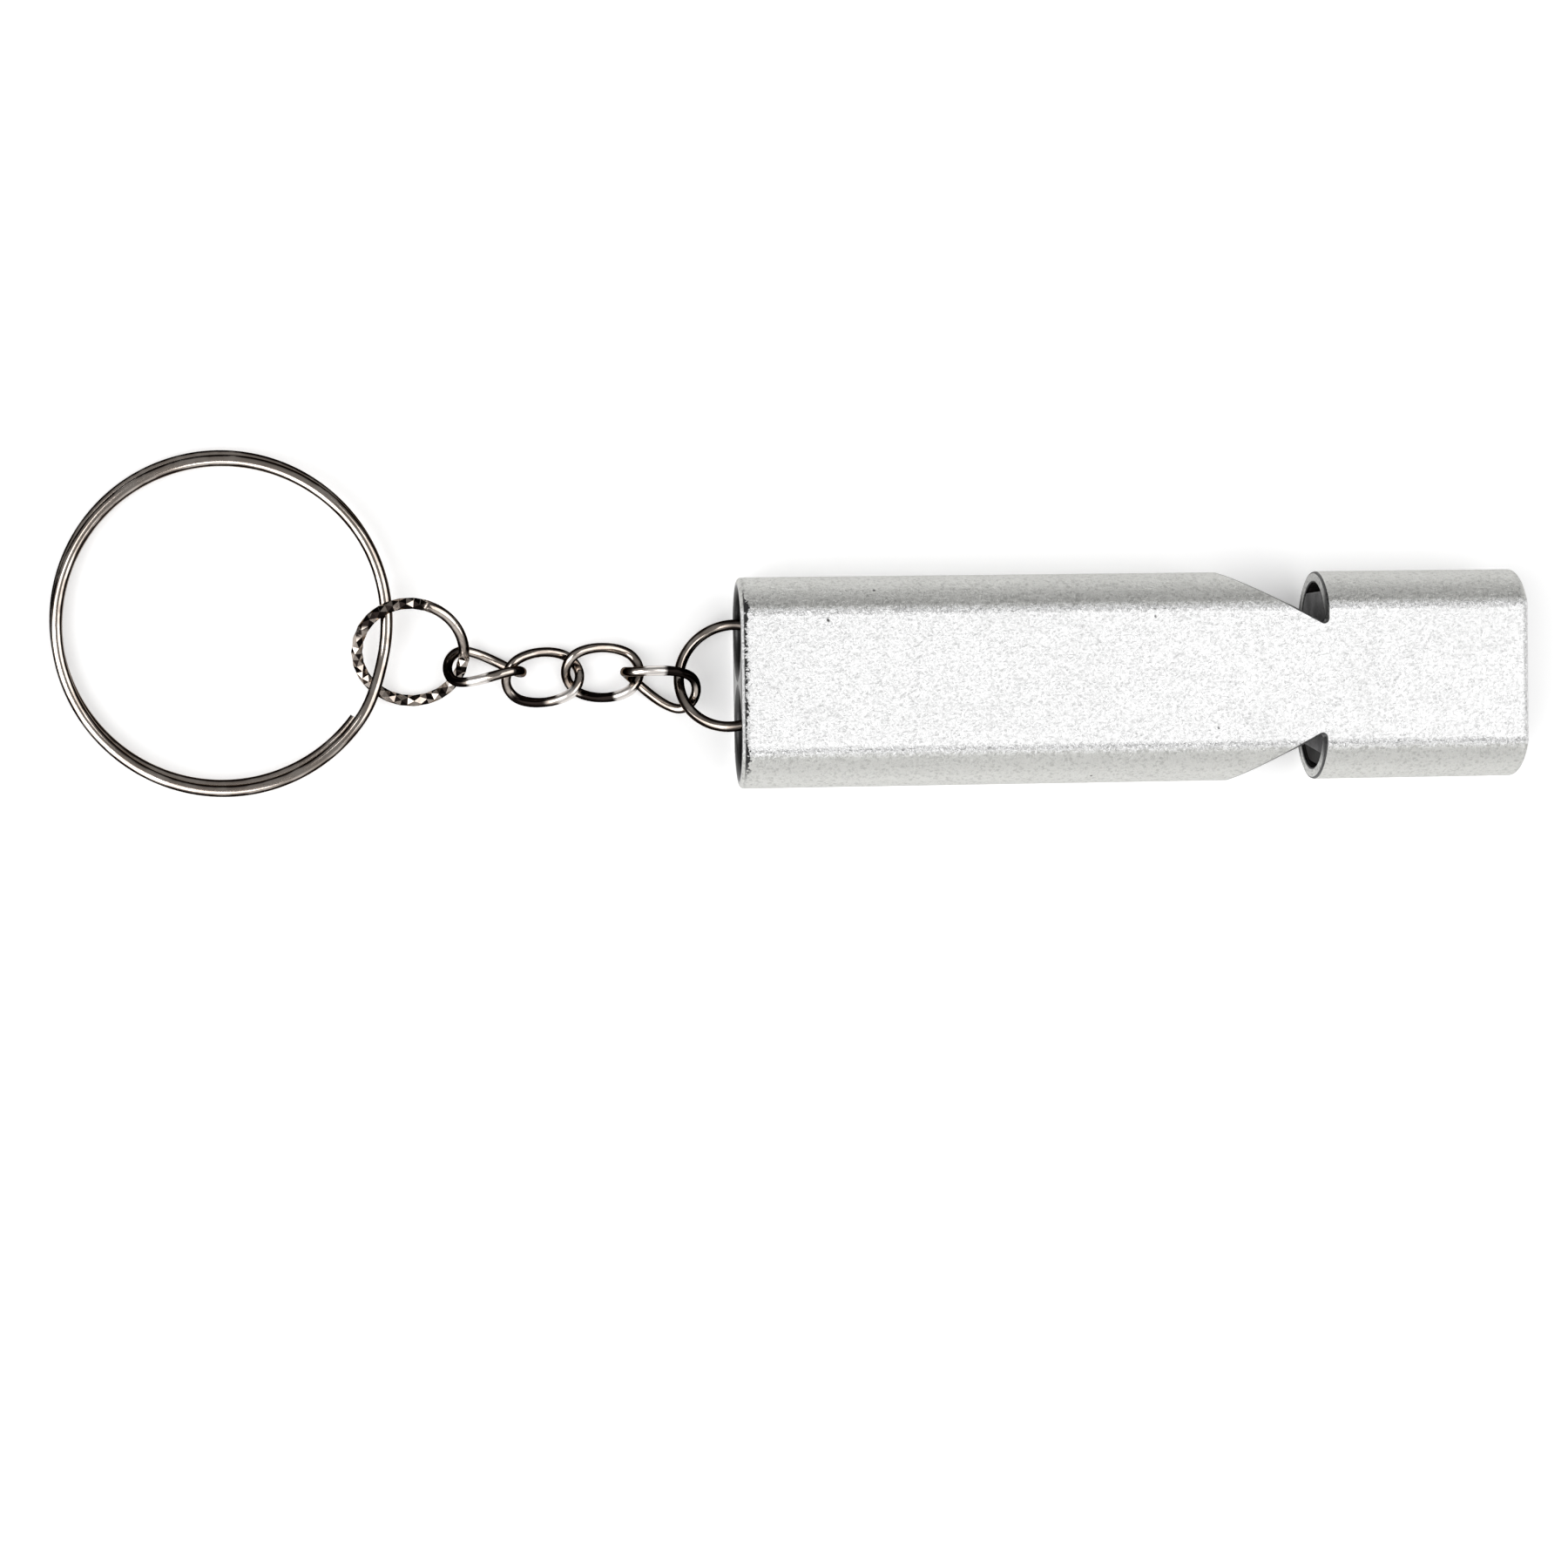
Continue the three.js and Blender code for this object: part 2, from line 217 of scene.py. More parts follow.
def surface_grain():
    """Blasted or moulded grain: a height, a shade that follows it, and sparse deep pits."""
    tree, given, out = new_group(
        "ShaderNodeTree",
        "surface_grain",
        [("Place", VECTOR, None), ("Grain", FLOAT, 0.3), ("Pits", FLOAT, 0.1)],
        [("Height", FLOAT), ("Shade", FLOAT), ("Pit", FLOAT)],
    )
    place = given["Place"]
    fine = math_node(tree, "DIVIDE", 1 / MM, given["Grain"])
    inputs = {"Vector": place, "Scale": fine, "Detail": 2.0, "Roughness": 0.6, "Distortion": 2.0}
    noise = add(tree, "ShaderNodeTexNoise", inputs).outputs["Fac"]
    scale = math_node(tree, "MULTIPLY", fine, CRATERS_PER_GRAIN)
    craters = add(tree, "ShaderNodeTexVoronoi", {"Vector": place, "Scale": scale})
    crater = mapped(tree, craters.outputs["Distance"], *CRATER_SPAN)
    height = math_node(tree, "MULTIPLY_ADD", crater, CRATER_DEPTH, noise)
    scale = math_node(tree, "MULTIPLY", fine, SPOTS_PER_GRAIN)
    spots = add(tree, "ShaderNodeTexVoronoi", {"Vector": place, "Scale": scale})
    chosen = add(tree, "ShaderNodeSeparateColor", {0: spots.outputs["Color"]}).outputs[0]
    keep = math_node(tree, "LESS_THAN", chosen, given["Pits"])
    near = mapped(tree, spots.outputs["Distance"], *PIT_SPAN, 1.0, 0.0)
    pit = math_node(tree, "MULTIPLY", keep, near)
    tree.links.new(math_node(tree, "MULTIPLY_ADD", pit, PIT_DEPTH, height), out.inputs["Height"])
    tree.links.new(mapped(tree, height, *SHADE_SPAN), out.inputs["Shade"])
    tree.links.new(pit, out.inputs["Pit"])
    return tree


def drawn_lines():
    """Fine lines left by drawing, sawing or bending, long in the first direction of Place."""
    tree, given, out = new_group(
        "ShaderNodeTree",
        "drawn_lines",
        [("Place", VECTOR, None), ("Spacing", FLOAT, 0.1), ("Stretch", FLOAT, 20.0)],
        [("Height", FLOAT), ("Line", FLOAT)],
    )
    fine = math_node(tree, "DIVIDE", 1 / MM, given["Spacing"])
    long = math_node(tree, "DIVIDE", fine, given["Stretch"])
    scale = add(tree, "ShaderNodeCombineXYZ", {0: long, 1: fine, 2: fine}).outputs[0]
    inputs = {0: given["Place"], 1: scale}
    place = add(tree, "ShaderNodeVectorMath", inputs, operation="MULTIPLY").outputs[0]
    inputs = {"Vector": place, "Scale": 1.0, "Detail": 3.0, "Roughness": 0.6}
    noise = add(tree, "ShaderNodeTexNoise", inputs).outputs["Fac"]
    tree.links.new(noise, out.inputs["Height"])
    tree.links.new(mapped(tree, noise, *LINE_SPAN), out.inputs["Line"])
    return tree


def handling_marks():
    """Broad smudges and dull patches from handling."""
    tree, given, out = new_group(
        "ShaderNodeTree",
        "handling_marks",
        [("Place", VECTOR, None), ("Size", FLOAT, 4.0)],
        [("Patch", FLOAT)],
    )
    scale = math_node(tree, "DIVIDE", 1 / MM, given["Size"])
    inputs = {"Vector": given["Place"], "Scale": scale, "Detail": 4.0, "Roughness": 0.55}
    noise = add(tree, "ShaderNodeTexNoise", inputs).outputs["Fac"]
    tree.links.new(mapped(tree, noise, *PATCH_SPAN), out.inputs["Patch"])
    return tree


GRAIN = surface_grain()
LINES = drawn_lines()
MARKS = handling_marks()


def grey(tone):
    return (tone, tone, tone)


class Finish:
    """A material under way: its Principled shader, the place on the piece and short ways to add nodes."""

    def __init__(self, name, color, metallic, roughness, tint=(1, 1, 1)):
        self.material = bpy.data.materials.new(name)
        self.material.use_nodes = True
        self.material.diffuse_color = (*color, 1)
        self.tree = self.material.node_tree
        self.tree.nodes.clear()
        surface = {"Base Color": (*color, 1), "Metallic": metallic, "Roughness": roughness}
        surface["Specular Tint"] = (*tint, 1)
        self.shader = add(self.tree, "ShaderNodeBsdfPrincipled", surface)
        add(self.tree, "ShaderNodeOutputMaterial", {"Surface": self.shader.outputs[0]})
        self.place = add(self.tree, "ShaderNodeTexCoord").outputs["Object"]
        self.x, self.y, self.z = self.parts(self.place)

    def parts(self, vector):
        return add(self.tree, "ShaderNodeSeparateXYZ", {0: vector}).outputs

    def grain(self, size, pits=0.0):
        return self.effect(GRAIN, Place=self.place, Grain=size, Pits=pits)

    def effect(self, group, **inputs):
        return add(self.tree, "ShaderNodeGroup", inputs, node_tree=group).outputs

    def kept(self, name):
        """An attribute that the piece's own mesh keeps."""
        return add(self.tree, "ShaderNodeAttribute", attribute_name=name).outputs

    def math(self, operation, first, second=0.0, third=0.0):
        return math_node(self.tree, operation, first, second, third)

    def rising(self, value, span, to_low=0.0, to_high=1.0):
        return mapped(self.tree, value, *span, to_low, to_high)

    def falling(self, value, span):
        return mapped(self.tree, value, *span, 1.0, 0.0)

    def mix(self, share, first, second):
        """A colour between two, by a share from 0 to 1."""
        node = add(self.tree, "ShaderNodeMix", {"Factor": share}, data_type="RGBA")
        for key, value in ((6, first), (7, second)):
            if isinstance(value, bpy.types.NodeSocket):
                self.tree.links.new(value, node.inputs[key])
            else:
                node.inputs[key].default_value = (*value, 1)
        return node.outputs[2]

    def set(self, socket, output):
        self.tree.links.new(output, self.shader.inputs[socket])

    def bump(self, height, depth, strength, under=None):
        inputs = {"Height": height, "Distance": depth, "Strength": strength}
        if under is not None:
            inputs["Normal"] = under
        return add(self.tree, "ShaderNodeBump", inputs).outputs[0]


# Aluminium; sizes of grain, dents, the tail shade's grain and lines are in millimetres

WHOLE = (0.0, 1.0)
WALLS = [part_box(f"{side}_fipple_block")[0].x for side in ("left", "right")]

SKIN_GRAIN = 0.25
SKIN_PITS = 0.06
SKIN_DENTS = 0.3
TAIL_SHADE_GRAIN = 0.55
SKIN_PATCH = 5.0
SKIN_GRAIN_DEPTH = 0.07 * MM
SKIN_WEAR_DEPTH = 0.3 * MM
DENT_MEAN = 0.6
CREASE_WANDER = 0.9 * MM
CREASE_WEAR = (0.1 * MM, 0.5 * MM)
CREASE_BLEND = (-0.05 * MM, 0.2 * MM)
TAIL_WEAR = (0.3 * MM, 0.7 * MM)
MOUTH_WEAR = (0.25 * MM, 0.55 * MM)
TAIL_HOLLOW_REACH = (0.4 * MM, 1.0 * MM)
HIGHLIGHT_SPECK_SPAN = (0.62, 0.72)
HOLLOW_SPAN = (0.44, 0.54)
HOLLOW_SHARE = 0.4
LINE_START = (0.15 * MM, 0.25 * MM)
LINE_END = (0.97 * MM, 1.05 * MM)
LINE_WANDER = 1.0 * MM
LINE_CORNER = 0.3 * MM
LINE_CORNER_SPAN = (0.3 * MM, 1.3 * MM)
LINE_CORNER_WIDTH = -0.14 * MM
LINE_SIDE = (FLAT_EDGE + 0.6 * MM, CROWN)


def painted_tail_shade(finish, from_tail, past_crease):
    """A painted shade line: dark and ragged along the sawn tail, wider next to the creases and gone round
    the sides.
    """
    wander = finish.grain(TAIL_SHADE_GRAIN)
    from_corner = finish.math("ABSOLUTE", finish.math("SUBTRACT", past_crease, LINE_CORNER))
    corner = finish.rising(from_corner, LINE_CORNER_SPAN, LINE_CORNER_WIDTH, 0.0)
    wandering_edge = finish.math("MULTIPLY_ADD", wander["Height"], LINE_WANDER, from_tail)
    wandering_edge = finish.math("ADD", wandering_edge, corner)
    line = finish.math("MULTIPLY", finish.rising(from_tail, LINE_START), finish.falling(wandering_edge, LINE_END))
    return finish.math("MULTIPLY", line, finish.falling(finish.math("ABSOLUTE", finish.y), LINE_SIDE))


def blasted_aluminium():
    """The extrusion's outer skin: bead-blasted and nearly white, with small grey grain, a few dark pits,
    and worn creases and ends; painted shade darkens its sides, the dents' hollows by the creases and tail
    and a line along the tail, and painted highlight specks lie along the creases."""
    color = (0.86, 0.865, 0.87)
    finish = Finish("blasted_aluminium", color, metallic=1.0, roughness=0.42, tint=grey(0.6))
    grain = finish.grain(SKIN_GRAIN, SKIN_PITS)
    dents = finish.grain(SKIN_DENTS)
    marks = finish.effect(MARKS, Place=finish.place, Size=SKIN_PATCH)
    dent = finish.math("SUBTRACT", dents["Height"], DENT_MEAN)
    past_crease = finish.math("SUBTRACT", finish.math("ABSOLUTE", finish.y), FLAT_EDGE)
    from_tail = finish.math("SUBTRACT", finish.x, TAIL_END)
    from_mouth = finish.math("SUBTRACT", MOUTH_END, finish.x)
    crease = finish.falling(finish.math("ABSOLUTE", past_crease), CREASE_WEAR)
    ends = finish.math(
        "MAXIMUM", finish.falling(from_tail, TAIL_WEAR), finish.falling(from_mouth, MOUTH_WEAR)
    )
    marked = finish.math("MAXIMUM", crease, ends)
    side = finish.rising(finish.math("MULTIPLY_ADD", dent, CREASE_WANDER, past_crease), CREASE_BLEND)
    # painted highlight: pale specks on the dents' high points along the creases
    highlight_specks = finish.math("MULTIPLY", crease, finish.rising(dents["Height"], HIGHLIGHT_SPECK_SPAN))
    # painted shade: the dents' hollows darker along the creases and near the tail
    crease_and_tail = finish.math("MAXIMUM", crease, finish.falling(from_tail, TAIL_HOLLOW_REACH))
    shaded_hollows = finish.math(
        "MULTIPLY", crease_and_tail, finish.rising(dents["Height"], HOLLOW_SPAN, HOLLOW_SHARE, 0.0)
    )

    flat_tone = finish.mix(grain["Shade"], grey(0.75), grey(0.955))
    # painted shade: the sides take a darker, mottled tone than the flats, meeting them along a ragged line
    # past the crease
    shaded_side_tone = finish.mix(dents["Shade"], (0.56, 0.56, 0.54), (0.73, 0.73, 0.705))
    tone = finish.mix(side, flat_tone, shaded_side_tone)
    tone = finish.mix(highlight_specks, tone, grey(0.97))
    tone = finish.mix(shaded_hollows, tone, (0.38, 0.38, 0.37))
    # painted shade: the dark line along the tail's rounded edge
    tone = finish.mix(painted_tail_shade(finish, from_tail, past_crease), tone, grey(0.05))
    finish.set("Base Color", finish.mix(grain["Pit"], tone, grey(0.1)))
    finish.set("Roughness", finish.rising(marks["Patch"], WHOLE, 0.44, 0.5))
    blasted = finish.bump(grain["Height"], SKIN_GRAIN_DEPTH, strength=0.8)
    rough = finish.math("MULTIPLY", dent, marked)
    finish.set("Normal", finish.bump(rough, SKIN_WEAR_DEPTH, strength=0.6, under=blasted))
    return finish.material


CUT_GRAIN = 0.2
CUT_PITS = 0.05
CUT_GRAIN_DEPTH = 0.03 * MM
CUT_SHADOW = (0.62 * HALF_HEIGHT, 0.9 * HALF_HEIGHT)
SAW_SPACING = 0.12
WALL_START = (min(WALLS) - 0.2 * MM, min(WALLS) - 0.05 * MM)
WALL_END = (max(WALLS) + 0.05 * MM, max(WALLS) + 0.2 * MM)


def cut_aluminium():
    """Sawn faces: smoother, with saw lines, in a dark tone of painted shade; painted light makes the
    notches' walls paler and mottled, and painted shade darkens the faces next to the flats.
    """
    finish = Finish("cut_aluminium", grey(0.4), metallic=1.0, roughness=0.34)
    lines = finish.effect(LINES, Place=finish.place, Spacing=SAW_SPACING, Stretch=1.0)
    grain = finish.grain(CUT_GRAIN, CUT_PITS)
    from_middle = finish.math("ABSOLUTE", finish.math("SUBTRACT", finish.z, HALF_HEIGHT))
    on_wall = finish.math(
        "MULTIPLY", finish.rising(finish.x, WALL_START), finish.falling(finish.x, WALL_END)
    )
    # painted shade: the sawn faces' dark tone, with darker saw lines
    tone = finish.mix(lines["Line"], grey(0.34), grey(0.22))
    # painted light: the notches' walls take a paler tone than the ramps, mottled by the grain
    mottled = finish.mix(grain["Shade"], (0.28, 0.28, 0.27), (0.62, 0.62, 0.6))
    tone = finish.mix(on_wall, tone, mottled)
    # painted shade: darker next to the flats
    finish.set("Base Color", finish.mix(finish.rising(from_middle, CUT_SHADOW), tone, grey(0.045)))
    finish.set("Normal", finish.bump(grain["Height"], CUT_GRAIN_DEPTH, strength=0.6))
    return finish.material


EDGE_GRAIN_DEPTH = 0.05 * MM
RAMP_START = (2.0 * MM, 3.5 * MM)
RAMP_END = (12 * MM, 14 * MM)


def cut_edge():
    """The narrow deburred edge round every cut, painted dark as shade and paler along the ramps."""
    finish = Finish("cut_edge", grey(0.16), metallic=1.0, roughness=0.45)
    grain = finish.grain(CUT_GRAIN)
    from_wall = finish.math("SUBTRACT", WALLS[0], finish.x)
    ramp = finish.math(
        "MULTIPLY", finish.rising(from_wall, RAMP_START), finish.falling(from_wall, RAMP_END)
    )
    # painted shade: the edges' dark tone, paler along the ramps
    tone = finish.mix(grain["Shade"], grey(0.03), grey(0.11))
    finish.set("Base Color", finish.mix(ramp, tone, (0.34, 0.34, 0.33)))
    finish.set("Normal", finish.bump(grain["Height"], EDGE_GRAIN_DEPTH, strength=0.8))
    return finish.material


BORE_SPACING = 0.14
BORE_STRETCH = 40.0
BORE_LINE_DEPTH = 0.03 * MM
BORE_MOUTH = (0.2 * MOUTH_END, 0.5 * MOUTH_END)


def bore_aluminium():
    """Inside of the bores: drawn lines along the body, painted dark as shade at the tail and paler, as
    painted light, in the mouthpiece.
    """
    finish = Finish("bore_aluminium", grey(0.15), metallic=1.0, roughness=0.4)
    lines = finish.effect(LINES, Place=finish.place, Spacing=BORE_SPACING, Stretch=BORE_STRETCH)
    # painted shade at the tail and painted light in the mouthpiece
    tone = finish.mix(finish.rising(finish.x, BORE_MOUTH), grey(0.08), (0.4, 0.39, 0.38))
    finish.set("Base Color", finish.mix(lines["Line"], tone, grey(0.05)))
    finish.set("Normal", finish.bump(lines["Height"], BORE_LINE_DEPTH, strength=0.5))
    return finish.material


# Plastic

PLASTIC_GRAIN = 0.16
PLASTIC_PITS = 0.02
PLASTIC_PATCH = 1.6
PLASTIC_GRAIN_DEPTH = 0.02 * MM
STEP_SPAN = (0.07 * MM, 0.12 * MM)
STEP_ROUGHER = 0.4


def dark_plastic(name, step=None):
    """Moulded plugs: dark grey with a fine grain, with painted shade in a step that starts at a place
    along X.
    """
    finish = Finish(name, (0.06, 0.06, 0.062), metallic=0.0, roughness=0.5)
    grain = finish.grain(PLASTIC_GRAIN, PLASTIC_PITS)
    marks = finish.effect(MARKS, Place=finish.place, Size=PLASTIC_PATCH)
    tone = finish.mix(grain["Shade"], (0.06, 0.06, 0.061), (0.095, 0.092, 0.095))
    roughness = finish.rising(marks["Patch"], WHOLE, 0.42, 0.58)
    if step is not None:
        # painted shade in the step's recess, which is also rougher
        step_shade = finish.rising(finish.math("SUBTRACT", finish.x, step), STEP_SPAN)
        tone = finish.mix(step_shade, tone, (0.022, 0.021, 0.02))
        roughness = finish.math("MULTIPLY_ADD", step_shade, STEP_ROUGHER, roughness)
    finish.set("Base Color", finish.mix(grain["Pit"], tone, (0.15, 0.14, 0.14)))
    finish.set("Roughness", roughness)
    finish.set("Normal", finish.bump(grain["Height"], PLASTIC_GRAIN_DEPTH, strength=0.5))
    return finish.material


# Nickel

# painted dark reflection, used on the wires' flanks, stretches and cuts
PAINTED_DARK = (0.012, 0.009, 0.008)
# painted highlight on the links' glint stretches
GLINT = (0.95, 0.9, 0.86)
GLINT_SHARE = 0.9
GLINT_ROUGHER = 0.2
WIRE_GRAIN = 0.22
WIRE_PITS = 0.03
WIRE_PATCH = 2.2
WIRE_LINE_SPACING = 0.09
WIRE_LINE_STRETCH = 14.0
WIRE_LINE_DEPTH = 0.004 * MM
WIRE_GRAIN_DEPTH = 0.004 * MM
FLANK_OVER = (0.74, 0.98)
FLANK_UNDER = (0.2, 0.42)
FLANK_WANDER = 0.12
CUT_FLANK = 0.35
FACET_STEP = (0.05, 0.05, 0.05)
FACET_SPAN = (0.5, 0.62)
FACET_MORE = (-0.12, 0.25)
FACET_REACH = 1.5 * MM
DARK_REACH = 1.6 * MM
DARK_MOST = 0.85


def wire_flank(finish, facing, patch):
    """1 in the two bands of painted dark reflection on a wire's flanks, by how steeply the wire looks up.
    """
    up = finish.math("ABSOLUTE", finish.parts(facing)[2])
    over = finish.falling(finish.math("MULTIPLY_ADD", patch, FLANK_WANDER, up), FLANK_OVER)
    return finish.math("MULTIPLY", over, finish.rising(up, FLANK_UNDER))


def dark_cuts(finish, facing, cut_past):
    """1 on the cuts with painted dark reflection: a chance for each facet, higher past a place along Y."""
    inputs = {0: facing, 1: FACET_STEP}
    facet = add(finish.tree, "ShaderNodeVectorMath", inputs, operation="SNAP").outputs[0]
    chance = add(finish.tree, "ShaderNodeTexWhiteNoise", {"Vector": facet}).outputs["Value"]
    more = finish.rising(finish.y, (cut_past - FACET_REACH, cut_past), *FACET_MORE)
    return finish.rising(finish.math("ADD", chance, more), FACET_SPAN)


def nickel_plate(name, marked=False, cut_past=None, dark_past=None):
    """Plated wire: a little warm, with fine lines along it and painted dark reflection in two bands on its
    flanks.
    It may have stretches of painted dark reflection and painted highlight, painted dark reflection in some
    of its cuts, more of them past a place along Y, or painted dark reflection past a place along X."""
    color = (0.64, 0.57, 0.51)
    finish = Finish(name, color, metallic=1.0, roughness=0.1, tint=(0.08, 0.067, 0.058))
    facing = finish.kept("facing")["Vector"]
    round_wire = finish.parts(finish.kept("section")["Vector"])
    way = {0: finish.kept("along")["Fac"], 1: round_wire[0], 2: round_wire[1]}
    wire_place = add(finish.tree, "ShaderNodeCombineXYZ", way).outputs[0]
    lines = finish.effect(LINES, Place=wire_place, Spacing=WIRE_LINE_SPACING, Stretch=WIRE_LINE_STRETCH)
    grain = finish.grain(WIRE_GRAIN, WIRE_PITS)
    patch = finish.effect(MARKS, Place=finish.place, Size=WIRE_PATCH)["Patch"]
    roughness = finish.rising(patch, WHOLE, 0.12, 0.07)
    tone = finish.mix(patch, (0.6, 0.515, 0.45), (0.78, 0.7, 0.635))
    tone = finish.mix(lines["Line"], tone, (0.42, 0.36, 0.31))
    flank = wire_flank(finish, facing, patch)
    if cut_past is not None:
        faceted = finish.kept("cut")["Fac"]
        flank = finish.math("MULTIPLY", flank, finish.rising(faceted, WHOLE, 1.0, CUT_FLANK))
    # painted dark reflection on the flanks
    tone = finish.mix(flank, tone, PAINTED_DARK)
    if marked:
        # painted dark reflection and painted highlight on stretches of each link
        glint_stretch = finish.kept("glint_stretch")["Fac"]
        tone = finish.mix(finish.kept("dark_stretch")["Fac"], tone, PAINTED_DARK)
        tone = finish.mix(finish.math("MULTIPLY", glint_stretch, GLINT_SHARE), tone, GLINT)
        roughness = finish.math("MULTIPLY_ADD", glint_stretch, GLINT_ROUGHER, roughness)
    if cut_past is not None:
        dark = dark_cuts(finish, facing, cut_past)
        # painted dark reflection on some of the cuts
        tone = finish.mix(finish.math("MULTIPLY", dark, faceted), tone, PAINTED_DARK)
    if dark_past is not None:
        # painted dark reflection on the tail ring where it nears the whistle
        dark_stretch = finish.rising(finish.x, (dark_past - DARK_REACH, dark_past), 0.0, DARK_MOST)
        tone = finish.mix(dark_stretch, tone, PAINTED_DARK)
    finish.set("Base Color", finish.mix(grain["Pit"], tone, (0.2, 0.17, 0.15)))
    finish.set("Roughness", roughness)
    fine = finish.bump(lines["Height"], WIRE_LINE_DEPTH, strength=0.5)
    finish.set("Normal", finish.bump(grain["Height"], WIRE_GRAIN_DEPTH, strength=0.4, under=fine))
    return finish.material


DARK_CUTS_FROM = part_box("patterned_ring")[1].y - 1.6 * MM

SKIN = blasted_aluminium()
CUT = cut_aluminium()
EDGE = cut_edge()
BORE = bore_aluminium()
PLASTIC = dark_plastic("dark_plastic")
STEPPED_PLASTIC = dark_plastic("dark_plastic_stepped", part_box("right_fipple_block")[0].x)
NICKEL = nickel_plate("nickel_plate")
LINK_NICKEL = nickel_plate("nickel_plate_links", marked=True)
CUT_NICKEL = nickel_plate("nickel_plate_cut", cut_past=DARK_CUTS_FROM)
TAIL_NICKEL = nickel_plate("nickel_plate_tail", dark_past=TAIL_END)
SKIN_FACE, CUT_FACE, BORE_FACE, EDGE_FACE = 0, 1, 2, 3


# Making and handing over pieces

def new_object(name, mesh):
    made = bpy.data.objects.new(name, mesh)
    bpy.context.scene.collection.objects.link(made)
    return made


def remove(made):
    mesh = made.data
    bpy.data.objects.remove(made)
    bpy.data.meshes.remove(mesh)


def evaluated_mesh(made):
    """The mesh that an object's modifiers give."""
    depsgraph = bpy.context.evaluated_depsgraph_get()
    return bpy.data.meshes.new_from_object(
        made.evaluated_get(depsgraph), preserve_all_data_layers=True, depsgraph=depsgraph
    )


def settle(made):
    """Replaces an object's mesh by what its modifiers give, and removes them."""
    mesh = evaluated_mesh(made)
    made.modifiers.clear()
    made.data = mesh
    return made


def smooth(mesh, edge_angle):
    mesh.shade_smooth()
    mesh.set_sharp_from_angle(angle=edge_angle)


def even_out(made):
    """Smooths a piece between its edges, with its large faces leading the shading."""
    smooth(made.data, SMOOTH_ANGLE)
    made.modifiers.new("even_normals", "WEIGHTED_NORMAL").keep_sharp = True
    settle(made)


def mesh_from(bm, name, materials):
    mesh = bpy.data.meshes.new(name)
    bm.to_mesh(mesh)
    bm.free()
    for material in materials:
        mesh.materials.append(material)
    return mesh


def skinned(bm, rows, material=0):
    """Lays faces between rows of corners."""
    for here, after in zip(rows, rows[1:]):
        for index in range(len(here)):
            face = bm.faces.new((here[index - 1], here[index], after[index], after[index - 1]))
            face.material_index = material


def closed_mesh(name, loops, material):
    """A skin over loops of places, closed at the first and the last."""
    bm = bmesh.new()
    rows = [[bm.verts.new(place) for place in loop] for loop in loops]
    bm.faces.new(rows[0])
    bm.faces.new(rows[-1])
    skinned(bm, rows)
    bmesh.ops.recalc_face_normals(bm, faces=bm.faces)
    return mesh_from(bm, name, [material])


def keep_facing(mesh):
    """Keeps the way that each corner looks at rest, for the painted dark reflection that follows it."""
    facing = mesh.attributes.new("facing", "FLOAT_VECTOR", "CORNER")
    facing.data.foreach_set("vector", [value for corner in mesh.corner_normals for value in corner.vector])


def hand_over(piece, body, node):
    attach(piece, body)
    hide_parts(node)


# Body

def turned(points, angle):
    """Points and directions in Y and Z, turned about the body's axis."""
    turn = Matrix.Rotation(angle, 2)
    return [(turn @ place, turn @ way) for place, way in points]


def arc(centre, radius, start, end, steps):
    """Points on an arc with their outward directions."""
    points = []
    for step in range(steps + 1):
        angle = start + (end - start) * step / steps
        way = Vector((math.cos(angle), math.sin(angle)))
        points.append((Vector(centre) + radius * way, way))
    return points


def body_outline():
    """The section once round: two flats, and side arcs that meet them in a slightly rounded crease."""
    rise = CROWN - FLAT_EDGE
    side_radius = (HALF_HEIGHT**2 + rise**2) / (2 * rise)
    side_centre = CROWN - side_radius
    drop = HALF_HEIGHT - CREASE_ROUND
    lean = math.sqrt((side_radius - CREASE_ROUND) ** 2 - drop**2)
    meet = math.atan2(drop, lean)
    quarter = math.pi / 2
    left = arc((side_centre + lean, drop), CREASE_ROUND, quarter, meet, CREASE_STEPS)
    left += arc((side_centre, 0), side_radius, meet, -meet, SIDE_STEPS)[1:-1]
    left += arc((side_centre + lean, -drop), CREASE_ROUND, -meet, -quarter, CREASE_STEPS)
    return left + turned(left, math.pi)


def bore_outline(side):
    """A bore once round; its outward direction points into the wall's air."""
    circle = arc((side * BORE_OFFSET, 0), BORE_RADIUS, 0, 2 * math.pi, BORE_STEPS)[:-1]
    return [(place, -way) for place, way in circle]


def length_rows():
    """Places along the body with the inset of its rounded ends."""
    rows = []
    for step in range(END_STEPS + 1):
        angle = math.pi / 2 * step / END_STEPS
        rows.append((END_ROUND * (1 - math.cos(angle)), END_ROUND * (1 - math.sin(angle))))
    tail = [(TAIL_END + along, inset) for along, inset in rows]
    mouth = [(MOUTH_END - along, inset) for along, inset in reversed(rows)]
    return tail + mouth


def loft(bm, outline, material):
    """Lays a skin over an outline drawn along the body, and gives back the loops at its two ends."""
    rows = []
    for along, inset in length_rows():
        rows.append([bm.verts.new((along, *(place - way * inset))) for place, way in outline])
    skinned(bm, rows, material)
    return rows[0], rows[-1]


def loop_edges(bm, loop):
    return [bm.edges.get((loop[index - 1], loop[index])) for index in range(len(loop))]


